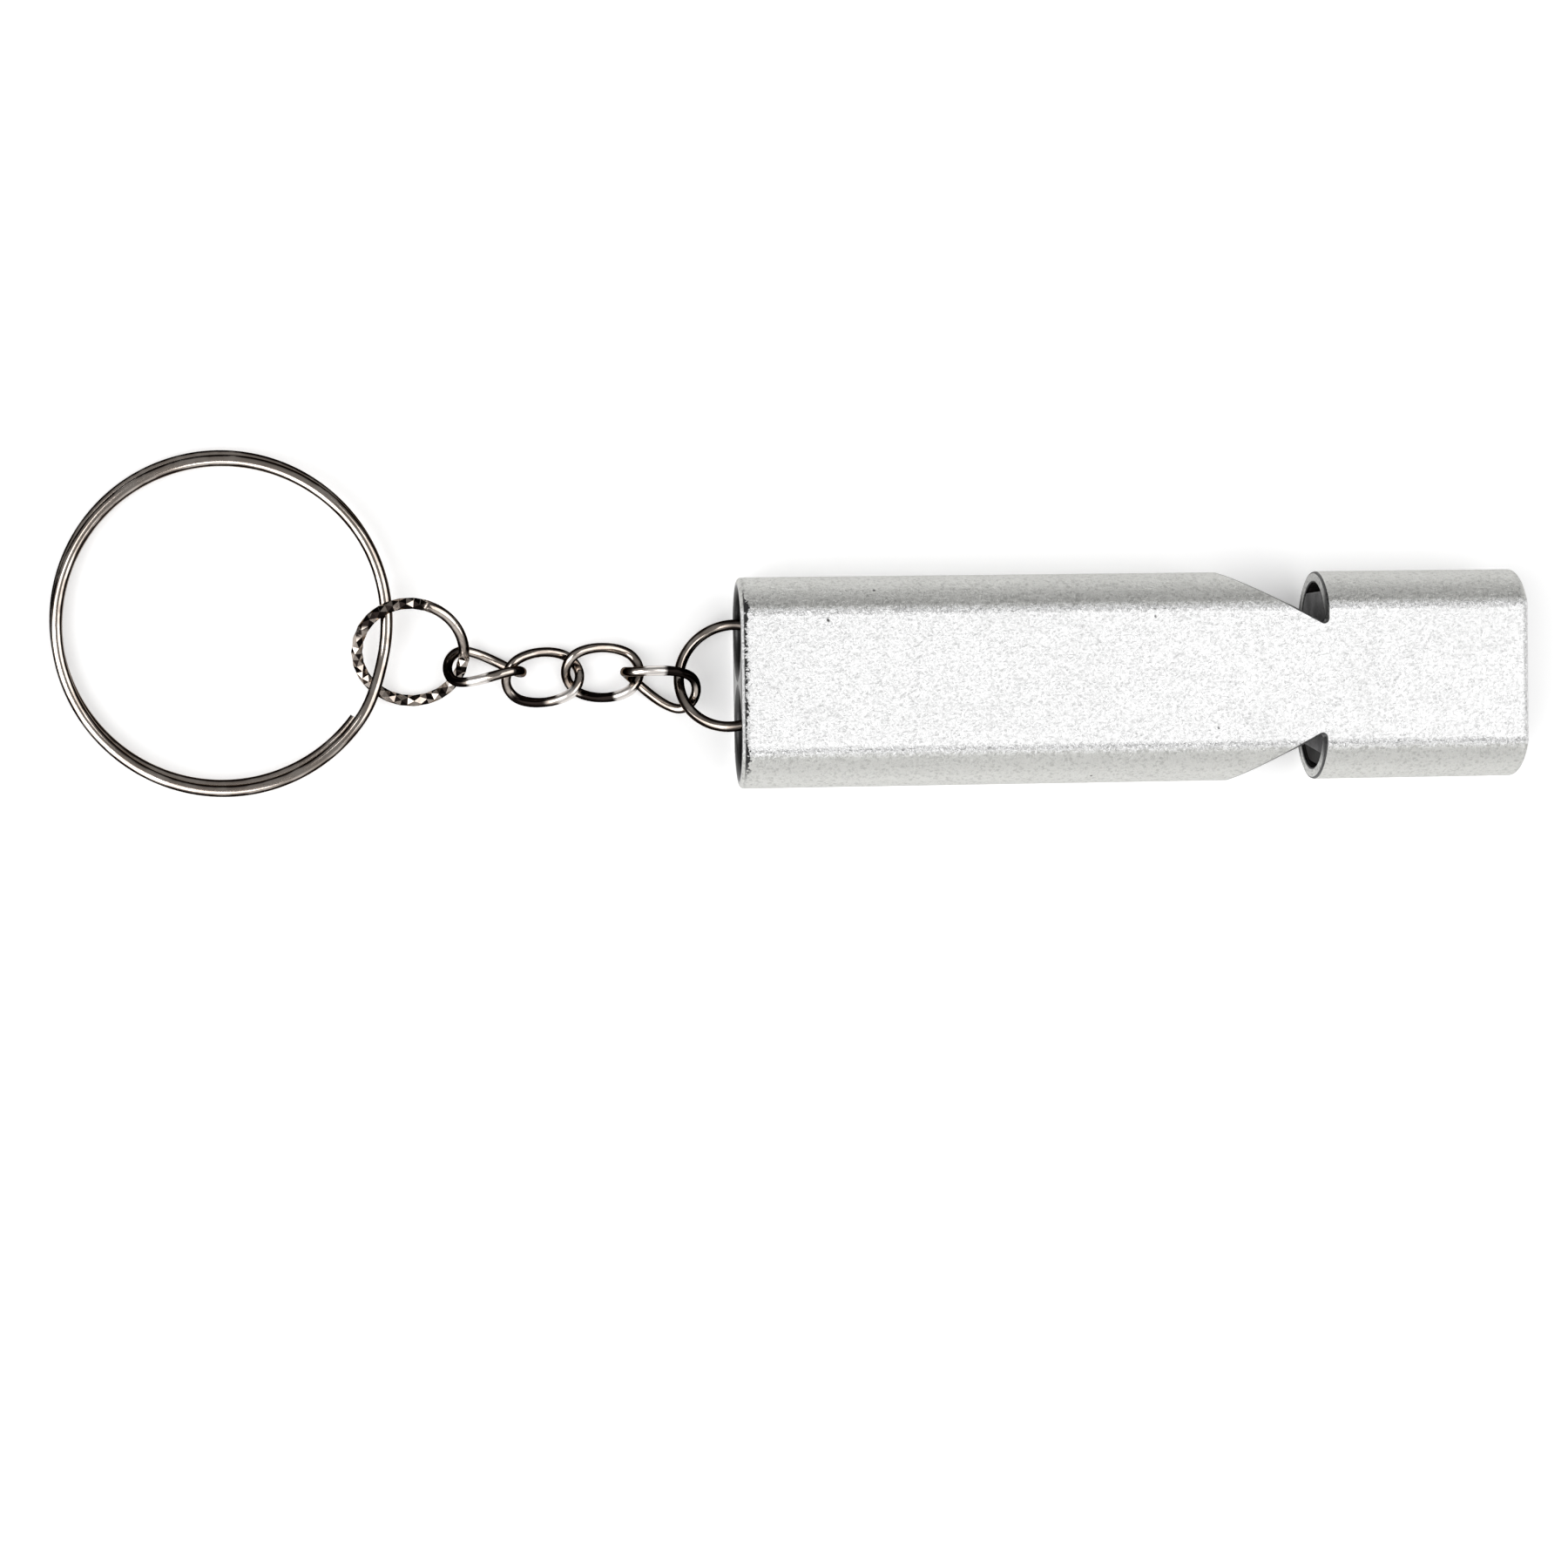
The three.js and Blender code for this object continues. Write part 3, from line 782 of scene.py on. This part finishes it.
def extrusion_mesh():
    bm = bmesh.new()
    skins = [(body_outline(), SKIN_FACE), (bore_outline(1), BORE_FACE), (bore_outline(-1), BORE_FACE)]
    ends = [loft(bm, outline, material) for outline, material in skins]
    for end in (0, 1):
        edges = [edge for loops in ends for edge in loop_edges(bm, loops[end])]
        filled = bmesh.ops.triangle_fill(bm, edges=edges, use_beauty=True)
        for face in filled["geom"]:
            if isinstance(face, bmesh.types.BMFace):
                face.material_index = CUT_FACE
    bmesh.ops.recalc_face_normals(bm, faces=bm.faces)
    bmesh.ops.translate(bm, verts=bm.verts, vec=(0, 0, HALF_HEIGHT))
    return mesh_from(bm, "whistle_body", [SKIN, CUT, BORE, EDGE])


def notch_cutter(side):
    """The room that the saw leaves: square wall, ramp, and a small radius at the root."""
    sign = 1 if side == "left" else -1
    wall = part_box(f"{side}_fipple_block")[0].x
    clear = 1 * MM
    depth = NOTCH_DEPTH[side]
    root = CROWN - depth
    centre_y = root + NOTCH_ROOT_RADIUS * (math.tan(RAMP_SLOPE) + 1 / math.cos(RAMP_SLOPE))
    outline = [(wall, CROWN + clear), (wall - (depth + clear) / math.tan(RAMP_SLOPE), CROWN + clear)]
    start = -math.pi / 2 - RAMP_SLOPE
    for place, _ in arc((wall - NOTCH_ROOT_RADIUS, centre_y), NOTCH_ROOT_RADIUS, start, 0, ROOT_STEPS):
        outline.append(tuple(place))
    heights = (-clear, 2 * HALF_HEIGHT + clear)
    loops = [[(x, sign * y, height) for x, y in outline] for height in heights]
    name = f"{side}_notch"
    return new_object(name, closed_mesh(name, loops, CUT))


def web_hole_cutter():
    bm = bmesh.new()
    place = Matrix.Translation((TAIL_END + WEB_HOLE_FROM_TAIL, 0, HALF_HEIGHT))
    bmesh.ops.create_cone(
        bm,
        cap_ends=True,
        segments=HOLE_STEPS,
        radius1=WEB_HOLE_RADIUS,
        radius2=WEB_HOLE_RADIUS,
        depth=WEB_HOLE_DEPTH,
        matrix=place @ Matrix.Rotation(math.pi / 2, 4, "X"),
    )
    return new_object("web_hole", mesh_from(bm, "web_hole", [CUT]))


def mark_cut_edges(mesh):
    """Marks the edges round every cut, which are then deburred."""
    bm = bmesh.new()
    bm.from_mesh(mesh)
    weight = bm.edges.layers.float.new("bevel_weight_edge")
    for edge in bm.edges:
        if len(edge.link_faces) != 2 or edge.calc_face_angle() < DEBURR_ANGLE:
            continue
        finishes = {mesh.materials[face.material_index].name for face in edge.link_faces}
        if len(finishes) == 2 and CUT.name in finishes:
            edge[weight] = 1.0
    bm.to_mesh(mesh)
    bm.free()


def make_body():
    body = new_object("whistle_body_skin", extrusion_mesh())
    cutters = [notch_cutter("left"), notch_cutter("right"), web_hole_cutter()]
    for cutter in cutters:
        cut = body.modifiers.new(cutter.name, "BOOLEAN")
        cut.operation = "DIFFERENCE"
        cut.solver = "EXACT"
        cut.material_mode = "TRANSFER"
        cut.object = cutter
    settle(body)
    for cutter in cutters:
        remove(cutter)
    mark_cut_edges(body.data)
    deburr = body.modifiers.new("deburr", "BEVEL")
    deburr.limit_method = "WEIGHT"
    deburr.width = DEBURR
    deburr.segments = DEBURR_STEPS
    deburr.use_clamp_overlap = False
    deburr.material = EDGE_FACE
    settle(body)
    even_out(body)
    hand_over(body, "whistle", "whistle_body")


# Plugs

def make_plug(node, sections, material=PLASTIC):
    """A plug from its sections along X, each a place and an outline in Y and Z."""
    loops = [[(x, y, z) for y, z in outline] for x, outline in sections]
    plug = new_object(f"{node}_moulding", closed_mesh(node, loops, material))
    edge = plug.modifiers.new("moulded_edge", "BEVEL")
    edge.limit_method = "ANGLE"
    edge.angle_limit = PLUG_EDGE_ANGLE
    edge.width = PLUG_EDGE
    edge.segments = PLUG_EDGE_STEPS
    settle(plug)
    even_out(plug)
    hand_over(plug, "whistle", node)


def block_outline(side, sign, windway):
    """A bore's circle with a flat that leaves the windway free."""
    half = math.pi / 2 + math.asin((BORE_RADIUS - windway) / PLUG_RADIUS)
    inward = (math.pi if sign > 0 else 0) + BLOCK_TURN[side]
    block = arc((sign * BORE_OFFSET, HALF_HEIGHT), PLUG_RADIUS, inward - half, inward + half, BORE_STEPS)
    return [place for place, _ in block]


def make_plugs():
    for side, sign in (("left", 1), ("right", -1)):
        node = f"{side}_fipple_block"
        low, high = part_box(node)
        step = BLOCK_STEP[side]
        full = block_outline(side, sign, WINDWAY_HEIGHT[side])
        sections = [(low.x, full), (high.x, full)]
        if step:
            over = block_outline(side, sign, WINDWAY_HEIGHT[side] + step)
            face = low.x + BLOCK_STEP_DEPTH
            sections = [(low.x, over), (face - BLOCK_STEP_SLOPE, over), (face, full), (high.x, full)]
        make_plug(node, sections, STEPPED_PLASTIC if step else PLASTIC)
        node = f"{side}_tube_stopper"
        low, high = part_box(node)
        stopper = arc((sign * BORE_OFFSET, HALF_HEIGHT), PLUG_RADIUS, 0, 2 * math.pi, BORE_STEPS)[:-1]
        outline = [place for place, _ in stopper]
        make_plug(node, [(low.x, outline), (high.x, outline)])


# Wires, as node trees that follow a path

WIRE_INPUTS = [
    ("Radius", FLOAT, TAIL_RING_RADIUS),
    ("Wire", FLOAT, TAIL_RING_WIRE),
    ("Seam", FLOAT, 0.0),
    ("End Gap", FLOAT, WIRE_END_GAP),
    ("Steps", "NodeSocketInt", RING_STEPS),
    ("Sides", "NodeSocketInt", WIRE_SIDES),
    ("Finish", "NodeSocketMaterial", None),
]
MADE = [("Geometry", "NodeSocketGeometry")]


def open_circle(tree, given):
    """A round path that stops short of itself by the gap between the wire's ends."""
    gap = math_node(tree, "DIVIDE", given["End Gap"], given["Radius"])
    start = math_node(tree, "MULTIPLY_ADD", gap, 0.5, given["Seam"])
    sweep = math_node(tree, "SUBTRACT", 2 * math.pi, gap)
    inputs = {
        "Resolution": given["Steps"],
        "Radius": given["Radius"],
        "Start Angle": start,
        "Sweep Angle": sweep,
    }
    return shape(tree, "CurveArc", inputs, mode="RADIUS")


def round_section(tree, given):
    radius = math_node(tree, "DIVIDE", given["Wire"], 2.0)
    inputs = {"Resolution": given["Sides"], "Radius": radius}
    return shape(tree, "CurvePrimitiveCircle", inputs, mode="RADIUS")


def flat_section(tree, given, height):
    """A four-sided section with rounded edges."""
    sizes = {"Width": given["Wire"], "Height": height}
    sharp = shape(tree, "CurvePrimitiveQuadrilateral", sizes)
    edge = {"Curve": sharp, "Radius": given["Edge"], "Count": FILLET_STEPS}
    return shape(tree, "FilletCurve", edge, mode="POLY")


def stored(tree, geometry, name, kind, value):
    inputs = {"Geometry": geometry, "Name": name, "Value": value}
    return shape(tree, "StoreNamedAttribute", inputs, data_type=kind, domain="POINT")


def swept(tree, path, section):
    """Runs a section along a path, and keeps the way along the wire and round it for the finish."""
    way = add(tree, "GeometryNodeSplineParameter").outputs["Length"]
    spot = shape(tree, "InputPosition")
    path = stored(tree, path, "along", "FLOAT", way)
    section = stored(tree, section, "section", "FLOAT_VECTOR", spot)
    inputs = {"Curve": path, "Profile Curve": section, "Fill Caps": True}
    return shape(tree, "CurveToMesh", inputs)


def finished(tree, mesh, given, out):
    whole = shape(tree, "RealizeInstances", {"Geometry": mesh})
    dressed = shape(tree, "SetMaterial", {"Geometry": whole, "Material": given["Finish"]})
    tree.links.new(dressed, out.inputs[0])
    return tree


def jump_ring_tree():
    tree, given, out = new_group("GeometryNodeTree", "jump_ring", WIRE_INPUTS, MADE)
    mesh = swept(tree, open_circle(tree, given), round_section(tree, given))
    return finished(tree, mesh, given, out)


def curb_link_tree():
    """A loop of four-sided wire with rounded edges, drawn out along its length and twisted about it."""
    more = [
        ("Half", FLOAT, LINK_HALF),
        ("Twist", FLOAT, LINK_TWIST),
        ("Edge", FLOAT, LINK_EDGE),
        ("Wire Turn", FLOAT, LINK_WIRE_TURN),
        ("Dull At", FLOAT, LINK_DARK_STRETCH[0]),
        ("Bright At", FLOAT, LINK_GLINT[0]),
    ]
    tree, given, out = new_group("GeometryNodeTree", "curb_link", WIRE_INPUTS + more, MADE)
    circle = open_circle(tree, given)
    spot = shape(tree, "InputPosition")
    across = add(tree, "ShaderNodeSeparateXYZ", {0: spot}).outputs[0]
    side = math_node(tree, "DIVIDE", across, given["Radius"])
    lean = mapped(tree, side, -LINK_SHOULDER, LINK_SHOULDER, -math.pi / 2, math.pi / 2, "LINEAR")
    pull = math_node(tree, "SINE", lean)
    reach = math_node(tree, "MULTIPLY", pull, given["Half"])
    shift = add(tree, "ShaderNodeCombineXYZ", {0: reach}).outputs[0]
    oval = shape(tree, "SetPosition", {"Geometry": circle, "Offset": shift})
    even = shape(tree, "ResampleCurve", {"Curve": oval, "Count": given["Steps"]})
    spot = shape(tree, "InputPosition")
    along = add(tree, "ShaderNodeSeparateXYZ", {0: spot}).outputs[0]
    tip = math_node(tree, "ADD", given["Half"], given["Radius"])
    share = math_node(tree, "DIVIDE", along, tip)
    angle = math_node(tree, "MULTIPLY", math_node(tree, "MULTIPLY", share, given["Twist"]), -0.5)
    inputs = {"Vector": spot, "Angle": angle}
    turned_spot = add(tree, "ShaderNodeVectorRotate", inputs, rotation_type="X_AXIS").outputs[0]
    twisted = shape(tree, "SetPosition", {"Geometry": even, "Position": turned_spot})
    twisted = shape(tree, "SetCurveNormal", {"Curve": twisted}, mode="Z_UP")
    way = shape(tree, "SplineParameter")
    # where each link gets its stretches of painted dark reflection and painted highlight
    for name, label, half in (("dark_stretch", "Dull At", DARK_STRETCH_SHARE), ("glint_stretch", "Bright At", GLINT_STRETCH_SHARE)):
        apart = math_node(tree, "ABSOLUTE", math_node(tree, "SUBTRACT", way, given[label]))
        stretch = mapped(tree, apart, *(half * fade for fade in STRETCH_FADE), 1.0, 0.0)
        twisted = stored(tree, twisted, name, "FLOAT", stretch)
    tilt = math_node(tree, "MULTIPLY", way, given["Wire Turn"])
    twisted = shape(tree, "SetCurveTilt", {"Curve": twisted, "Tilt": tilt})
    mesh = swept(tree, twisted, flat_section(tree, given, given["Wire"]))
    return finished(tree, mesh, given, out)


def cut_ring_tree():
    """Cornered sections, each turned by half a corner against the last: a belt of triangular cuts that
    fades to round wire."""
    more = [
        ("Cuts", "NodeSocketInt", PATTERN_CUTS),
        ("Smooth From", FLOAT, PATTERN_SMOOTH[0]),
        ("Smooth To", FLOAT, PATTERN_SMOOTH[1]),
    ]
    tree, given, out = new_group("GeometryNodeTree", "cut_ring", WIRE_INPUTS + more, MADE)
    sizes = {key: given[key] for key in ("End Gap", "Radius", "Seam")}
    path = open_circle(tree, {**sizes, "Steps": given["Cuts"]})
    index = shape(tree, "InputIndex")
    tilt = math_node(tree, "MULTIPLY", math_node(tree, "MODULO", index, 2.0), math.pi / PATTERN_CORNERS)
    path = shape(tree, "SetCurveTilt", {"Curve": path, "Tilt": tilt})
    cornered = round_section(tree, {"Wire": given["Wire"], "Sides": PATTERN_CORNERS})
    belt = swept(tree, path, cornered)
    cuts = shape(tree, "Triangulate", {"Mesh": belt}, quad_method="SHORTEST_DIAGONAL")
    fine = shape(tree, "SubdivideMesh", {"Mesh": cuts, "Level": CUT_LEVELS})
    spot = shape(tree, "InputPosition")
    x, y, _ = add(tree, "ShaderNodeSeparateXYZ", {0: spot}).outputs
    turn = math_node(tree, "ARCTAN2", y, x)
    place = {}
    for axis, name in enumerate(("COSINE", "SINE")):
        place[axis] = math_node(tree, "MULTIPLY", given["Radius"], math_node(tree, name, turn))
    middle = add(tree, "ShaderNodeCombineXYZ", place).outputs[0]
    out_way = add(tree, "ShaderNodeVectorMath", {0: spot, 1: middle}, operation="SUBTRACT").outputs[0]
    unit = add(tree, "ShaderNodeVectorMath", {0: out_way}, operation="NORMALIZE").outputs[0]
    reach = math_node(tree, "MULTIPLY", given["Wire"], PATTERN_ROUND)
    rounded = add(tree, "ShaderNodeVectorMath", {0: unit, "Scale": reach}, operation="SCALE").outputs[0]
    full = add(tree, "ShaderNodeVectorMath", {0: middle, 1: rounded}, operation="ADD").outputs[0]
    rise_from = math_node(tree, "SUBTRACT", given["Smooth From"], PATTERN_FADE)
    fall_to = math_node(tree, "ADD", given["Smooth To"], PATTERN_FADE)
    rise = mapped(tree, turn, rise_from, given["Smooth From"])
    fall = mapped(tree, turn, given["Smooth To"], fall_to, 1.0, 0.0)
    share = math_node(tree, "MULTIPLY", rise, fall)
    mixed = add(tree, "ShaderNodeMix", {"Factor": share, 4: spot, 5: full}, data_type="VECTOR").outputs[1]
    fine = stored(tree, fine, "cut", "FLOAT", math_node(tree, "SUBTRACT", 1.0, share))
    mesh = shape(tree, "SetPosition", {"Geometry": fine, "Position": mixed})
    return finished(tree, mesh, given, out)


def split_ring_tree():
    """Two turns of flat wire; a step carries the upper turn down to the lower one."""
    more = [
        ("Height", FLOAT, SPLIT_HEIGHT),
        ("Edge", FLOAT, SPLIT_EDGE),
        ("Turn Gap", FLOAT, SPLIT_GAP),
        ("Shift", FLOAT, SPLIT_SHIFT),
        ("Shift Angle", FLOAT, SPLIT_SHIFT_ANGLE),
        ("Step", FLOAT, SPLIT_STEP),
        ("Step Place", FLOAT, SPLIT_STEP_PLACE),
        ("Tuck", FLOAT, SPLIT_TUCK),
        ("Tuck Span", FLOAT, SPLIT_TUCK_SPAN),
    ]
    tree, given, out = new_group("GeometryNodeTree", "split_ring", WIRE_INPUTS + more, MADE)
    line = shape(tree, "CurvePrimitiveLine")
    even = shape(tree, "ResampleCurve", {"Curve": line, "Count": given["Steps"]})
    share = shape(tree, "SplineParameter")
    sweep = math_node(tree, "SUBTRACT", 4 * math.pi, given["Step"])
    start = math_node(tree, "MULTIPLY", given["Step"], 0.5)
    angle = math_node(tree, "MULTIPLY_ADD", share, sweep, start)
    way = math_node(tree, "DIVIDE", math_node(tree, "SUBTRACT", angle, 2 * math.pi), given["Step"])
    level = mapped(tree, way, -0.5, 0.5, 1.0, -1.0, "SMOOTHERSTEP")
    shift = math_node(tree, "MULTIPLY", math_node(tree, "MULTIPLY", level, given["Shift"]), -0.5)
    rise = math_node(tree, "MULTIPLY", math_node(tree, "ADD", given["Height"], given["Turn Gap"]), 0.5)
    place = {}
    bearing = math_node(tree, "ADD", angle, given["Step Place"])
    from_end = math_node(tree, "SUBTRACT", angle, start)
    tuck = mapped(tree, from_end, 0.0, given["Tuck Span"], given["Tuck"], 0.0)
    radius = math_node(tree, "SUBTRACT", given["Radius"], tuck)
    for axis, name in enumerate(("COSINE", "SINE")):
        aside = math_node(tree, "MULTIPLY", shift, math_node(tree, name, given["Shift Angle"]))
        place[axis] = math_node(tree, "MULTIPLY_ADD", math_node(tree, name, bearing), radius, aside)
    place[2] = math_node(tree, "MULTIPLY", level, rise)
    spot = add(tree, "ShaderNodeCombineXYZ", place).outputs[0]
    path = shape(tree, "SetPosition", {"Geometry": even, "Position": spot})
    path = shape(tree, "SetCurveNormal", {"Curve": path}, mode="Z_UP")
    mesh = swept(tree, path, flat_section(tree, given, given["Height"]))
    return finished(tree, mesh, given, out)


def make_wire(node, tree, loop, edge_angle=SMOOTH_ANGLE, **sizes):
    """Runs a wire tree with its sizes, puts the mesh in its place on the chain and hands it over."""
    wire = new_object(f"{node}_wire", bpy.data.meshes.new(node))
    maker = wire.modifiers.new(tree.name, "NODES")
    maker.node_group = tree
    labels = {item.name: item.identifier for item in tree.interface.items_tree if item.in_out == "INPUT"}
    inputs = {"Finish": NICKEL, "Radius": loop.radius, "Wire": loop.wire, **sizes}
    for label, value in inputs.items():
        maker[labels[label.replace("_", " ")]] = value
    settle(wire)
    wire.data.transform(loop.seat())
    smooth(wire.data, edge_angle)
    keep_facing(wire.data)
    hand_over(wire, node, node)


# How the chain lies on the table, by the source's own rule

class Loop:
    """A link or ring with its rounded ends, and how it is rolled, sloped and turned where it lies."""

    def __init__(self, half, radius, twist, wire, roll, slope, turn):
        self.half, self.radius, self.twist, self.wire = half, radius, twist, wire
        self.roll, self.slope, self.turn = roll * DEGREE, slope * DEGREE, turn * DEGREE
        self.place = Vector()

    def lie(self):
        return Euler((self.roll, self.slope, self.turn), "XYZ").to_matrix()

    def end_point(self, end, radius, angle):
        twist = -end * self.twist / 2
        across = radius * math.sin(angle)
        along = end * (self.half + radius * math.cos(angle))
        return Vector((along, across * math.cos(twist), across * math.sin(twist)))

    def seat(self):
        return Matrix.Translation(self.place) @ self.lie().to_4x4()


NEAR, FAR = 1, -1


def link(roll, slope, turn):
    return Loop(LINK_HALF, LINK_RADIUS, LINK_TWIST, LINK_WIRE, roll, slope, turn)


def ring(radius, wire, roll, slope, turn):
    return Loop(0.0, radius, 0.0, wire, roll, slope, turn)


def hook(loop, holder, seat, grip, slack=0.0):
    """Hangs a loop by its near end in the far end of the loop that holds it, at an angle on each."""
    reach = holder.radius - (holder.wire + loop.wire) / 2 - HOOK_GAP - slack
    contact = holder.seat() @ holder.end_point(FAR, reach, seat * DEGREE)
    loop.place = contact - loop.lie() @ loop.end_point(NEAR, loop.radius, grip * DEGREE)


def lay_chain():
    tail_ring = ring(TAIL_RING_RADIUS, TAIL_RING_WIRE, roll=-16, slope=0, turn=-9)
    link_1 = link(roll=56, slope=0, turn=-20)
    link_2 = link(roll=0, slope=-5, turn=0)
    link_3 = link(roll=0, slope=5, turn=6)
    link_4 = link(roll=-64, slope=-5, turn=-6)
    patterned_ring = ring(PATTERN_RADIUS, PATTERN_WIRE, roll=25, slope=0, turn=0)
    split_ring = ring(SPLIT_RADIUS, SPLIT_WIDTH, roll=0, slope=-3, turn=-6)
    link_1_seat, link_1_grip = -28, 22

    # The tail ring slopes from the web hole down to link 1, whose lower side rests on the table
    link_1_height = link_1.radius * math.sin(link_1.roll + LINK_TWIST / 4) + LINK_WIRE / 2
    reach = tail_ring.radius - (tail_ring.wire + LINK_WIRE) / 2 - HOOK_GAP
    lift = reach * math.sin(link_1_seat * DEGREE) * math.sin(tail_ring.roll)
    way = tail_ring.radius + reach * math.cos(link_1_seat * DEGREE)
    drop = link_1.radius * math.sin(link_1_grip * DEGREE) * math.sin(link_1.roll - LINK_TWIST / 2)
    tail_ring.slope = -math.asin((HALF_HEIGHT + lift - drop - link_1_height) / way)
    web_hole = Vector((TAIL_END + WEB_HOLE_FROM_TAIL, 0, HALF_HEIGHT))
    tail_ring.place = web_hole - tail_ring.lie() @ Vector((tail_ring.radius, 0, 0))

    hook(link_1, tail_ring, link_1_seat, link_1_grip, TAIL_RING_SLACK)
    hook(link_2, link_1, seat=-35, grip=-14)
    hook(link_3, link_2, seat=0, grip=0, slack=FLAT_LINK_SLACK)
    hook(link_4, link_3, seat=40, grip=20)
    hook(patterned_ring, link_4, seat=25, grip=-13)
    hook(split_ring, patterned_ring, seat=0, grip=-5, slack=SPLIT_RING_SLACK)
    return tail_ring, (link_1, link_2, link_3, link_4), patterned_ring, split_ring


def make_chain():
    tail_ring, links, patterned_ring, split_ring = lay_chain()
    make_wire("tail_ring", jump_ring_tree(), tail_ring, Seam=TAIL_RING_SEAM, Finish=TAIL_NICKEL)
    link_tree = curb_link_tree()
    for number, loop in enumerate(links, start=1):
        make_wire(
            f"chain_link_{number}",
            link_tree,
            loop,
            Wire=LINK_DRAWN_WIRE,
            Finish=LINK_NICKEL,
            Dull_At=LINK_DARK_STRETCH[number - 1],
            Bright_At=LINK_GLINT[number - 1],
            Steps=LINK_STEPS,
        )
    cut_sizes = {"Seam": PATTERN_SEAM, "Finish": CUT_NICKEL}
    make_wire("patterned_ring", cut_ring_tree(), patterned_ring, FACET_ANGLE, **cut_sizes)
    make_wire("split_ring", split_ring_tree(), split_ring, Steps=SPLIT_STEPS)


# Studio

FLOOR_SIZE = 4.0
FLOOR_TONE = (0.9, 0.9, 0.9, 1)
FLOOR_GLOW = 0.36
ROOM_HEIGHT = (0.0, 0.45)
ROOM_LIGHT = (0.02, 0.22)
WALL_SPAN = (-0.8, -0.2)
WALL_LIGHT = 0.45
LAMP_ASIDE = {"left": 0.43, "right": 0.35}
LAMP_HEIGHT = 0.5
LAMP_SIZE = 0.6
LAMP_TURN = {"left": 25 * DEGREE, "right": 4 * DEGREE}
LAMP_POWER = {"left": 2.82, "right": 1.76}


def seen_background(tree):
    """1 for the rays that show the background: the camera's, and those that metal sends on."""
    path = add(tree, "ShaderNodeLightPath").outputs
    shown = math_node(tree, "MAXIMUM", path["Is Camera Ray"], path["Is Glossy Ray"])
    return math_node(tree, "MAXIMUM", shown, path["Is Transmission Ray"])


def make_floor():
    half = FLOOR_SIZE / 2
    mesh = bpy.data.meshes.new("floor")
    corners = [(-half, -half, 0), (half, -half, 0), (half, half, 0), (-half, half, 0)]
    mesh.from_pydata(corners, [], [(0, 1, 2, 3)])
    material = bpy.data.materials.new("pale_floor")
    material.use_nodes = True
    tree = material.node_tree
    tree.nodes.clear()
    paper = add(tree, "ShaderNodeBsdfDiffuse", {"Color": FLOOR_TONE}).outputs[0]
    glow = math_node(tree, "MULTIPLY", seen_background(tree), FLOOR_GLOW)
    white = add(tree, "ShaderNodeEmission", {"Color": (1, 1, 1, 1), "Strength": glow}).outputs[0]
    both = add(tree, "ShaderNodeAddShader", {0: paper, 1: white}).outputs[0]
    add(tree, "ShaderNodeOutputMaterial", {"Surface": both})
    mesh.materials.append(material)
    new_object("floor", mesh)


def make_room():
    """A dim room with a pale wall in front."""
    world = bpy.data.worlds.new("studio_room")
    bpy.context.scene.world = world
    world.use_nodes = True
    tree = world.node_tree
    tree.nodes.clear()
    way = add(tree, "ShaderNodeTexCoord").outputs["Generated"]
    _, across, height = add(tree, "ShaderNodeSeparateXYZ", {0: way}).outputs
    room = mapped(tree, height, *ROOM_HEIGHT, *ROOM_LIGHT)
    dim = math_node(tree, "ADD", room, mapped(tree, across, *WALL_SPAN, WALL_LIGHT, 0.0))
    back = add(tree, "ShaderNodeBackground", {"Color": (1, 1, 1, 1), "Strength": dim}).outputs[0]
    add(tree, "ShaderNodeOutputWorld", {"Surface": back})


def make_lamps():
    middle = (Vector(cad_box[0]) + Vector(cad_box[1])) / 2
    for name, side in (("left", -1), ("right", 1)):
        lamp = bpy.data.lights.new(f"{name}_softbox", "AREA")
        lamp.shape = "SQUARE"
        lamp.size = LAMP_SIZE
        lamp.energy = LAMP_POWER[name]
        made = new_object(f"{name}_softbox", lamp)
        aside = side * LAMP_ASIDE[name]
        turn = LAMP_TURN[name]
        made.location = middle + Vector((aside * math.cos(turn), aside * math.sin(turn), LAMP_HEIGHT))
        made.rotation_euler = (middle - made.location).to_track_quat("-Z", "Y").to_euler()


# Camera, from the photo's perspective

CAMERA_SENSOR = 36
CAMERA_LENS = 69.481
CAMERA_TARGET = Vector((-25.3221, -7.5119, 0)) * MM
CAMERA_DISTANCE = 225.304 * MM
CAMERA_LEAN_X = 0.0939
CAMERA_LEAN_Y = -0.0258
CAMERA_ROLL = -0.0149
CAMERA_NEAREST = 10 * MM


def make_camera():
    look = Vector((math.sin(CAMERA_LEAN_X), math.sin(CAMERA_LEAN_Y), 0))
    look.z = -math.sqrt(1 - look.length_squared)
    right = look.cross(Vector((0, 1, 0))).normalized()
    up = right.cross(look)
    roll = Matrix.Rotation(CAMERA_ROLL, 3, -look)
    lens = bpy.data.cameras.new("camera")
    lens.sensor_width = CAMERA_SENSOR
    lens.lens = CAMERA_LENS
    lens.clip_start = CAMERA_NEAREST
    made = new_object("camera", lens)
    axes = Matrix((roll @ right, roll @ up, -look)).transposed()
    made.matrix_world = Matrix.Translation(CAMERA_TARGET - CAMERA_DISTANCE * look) @ axes.to_4x4()
    bpy.context.scene.camera = made


make_body()
make_plugs()
make_chain()
make_floor()
make_room()
make_lamps()
make_camera()
bpy.context.scene.view_settings.view_transform = "Standard"
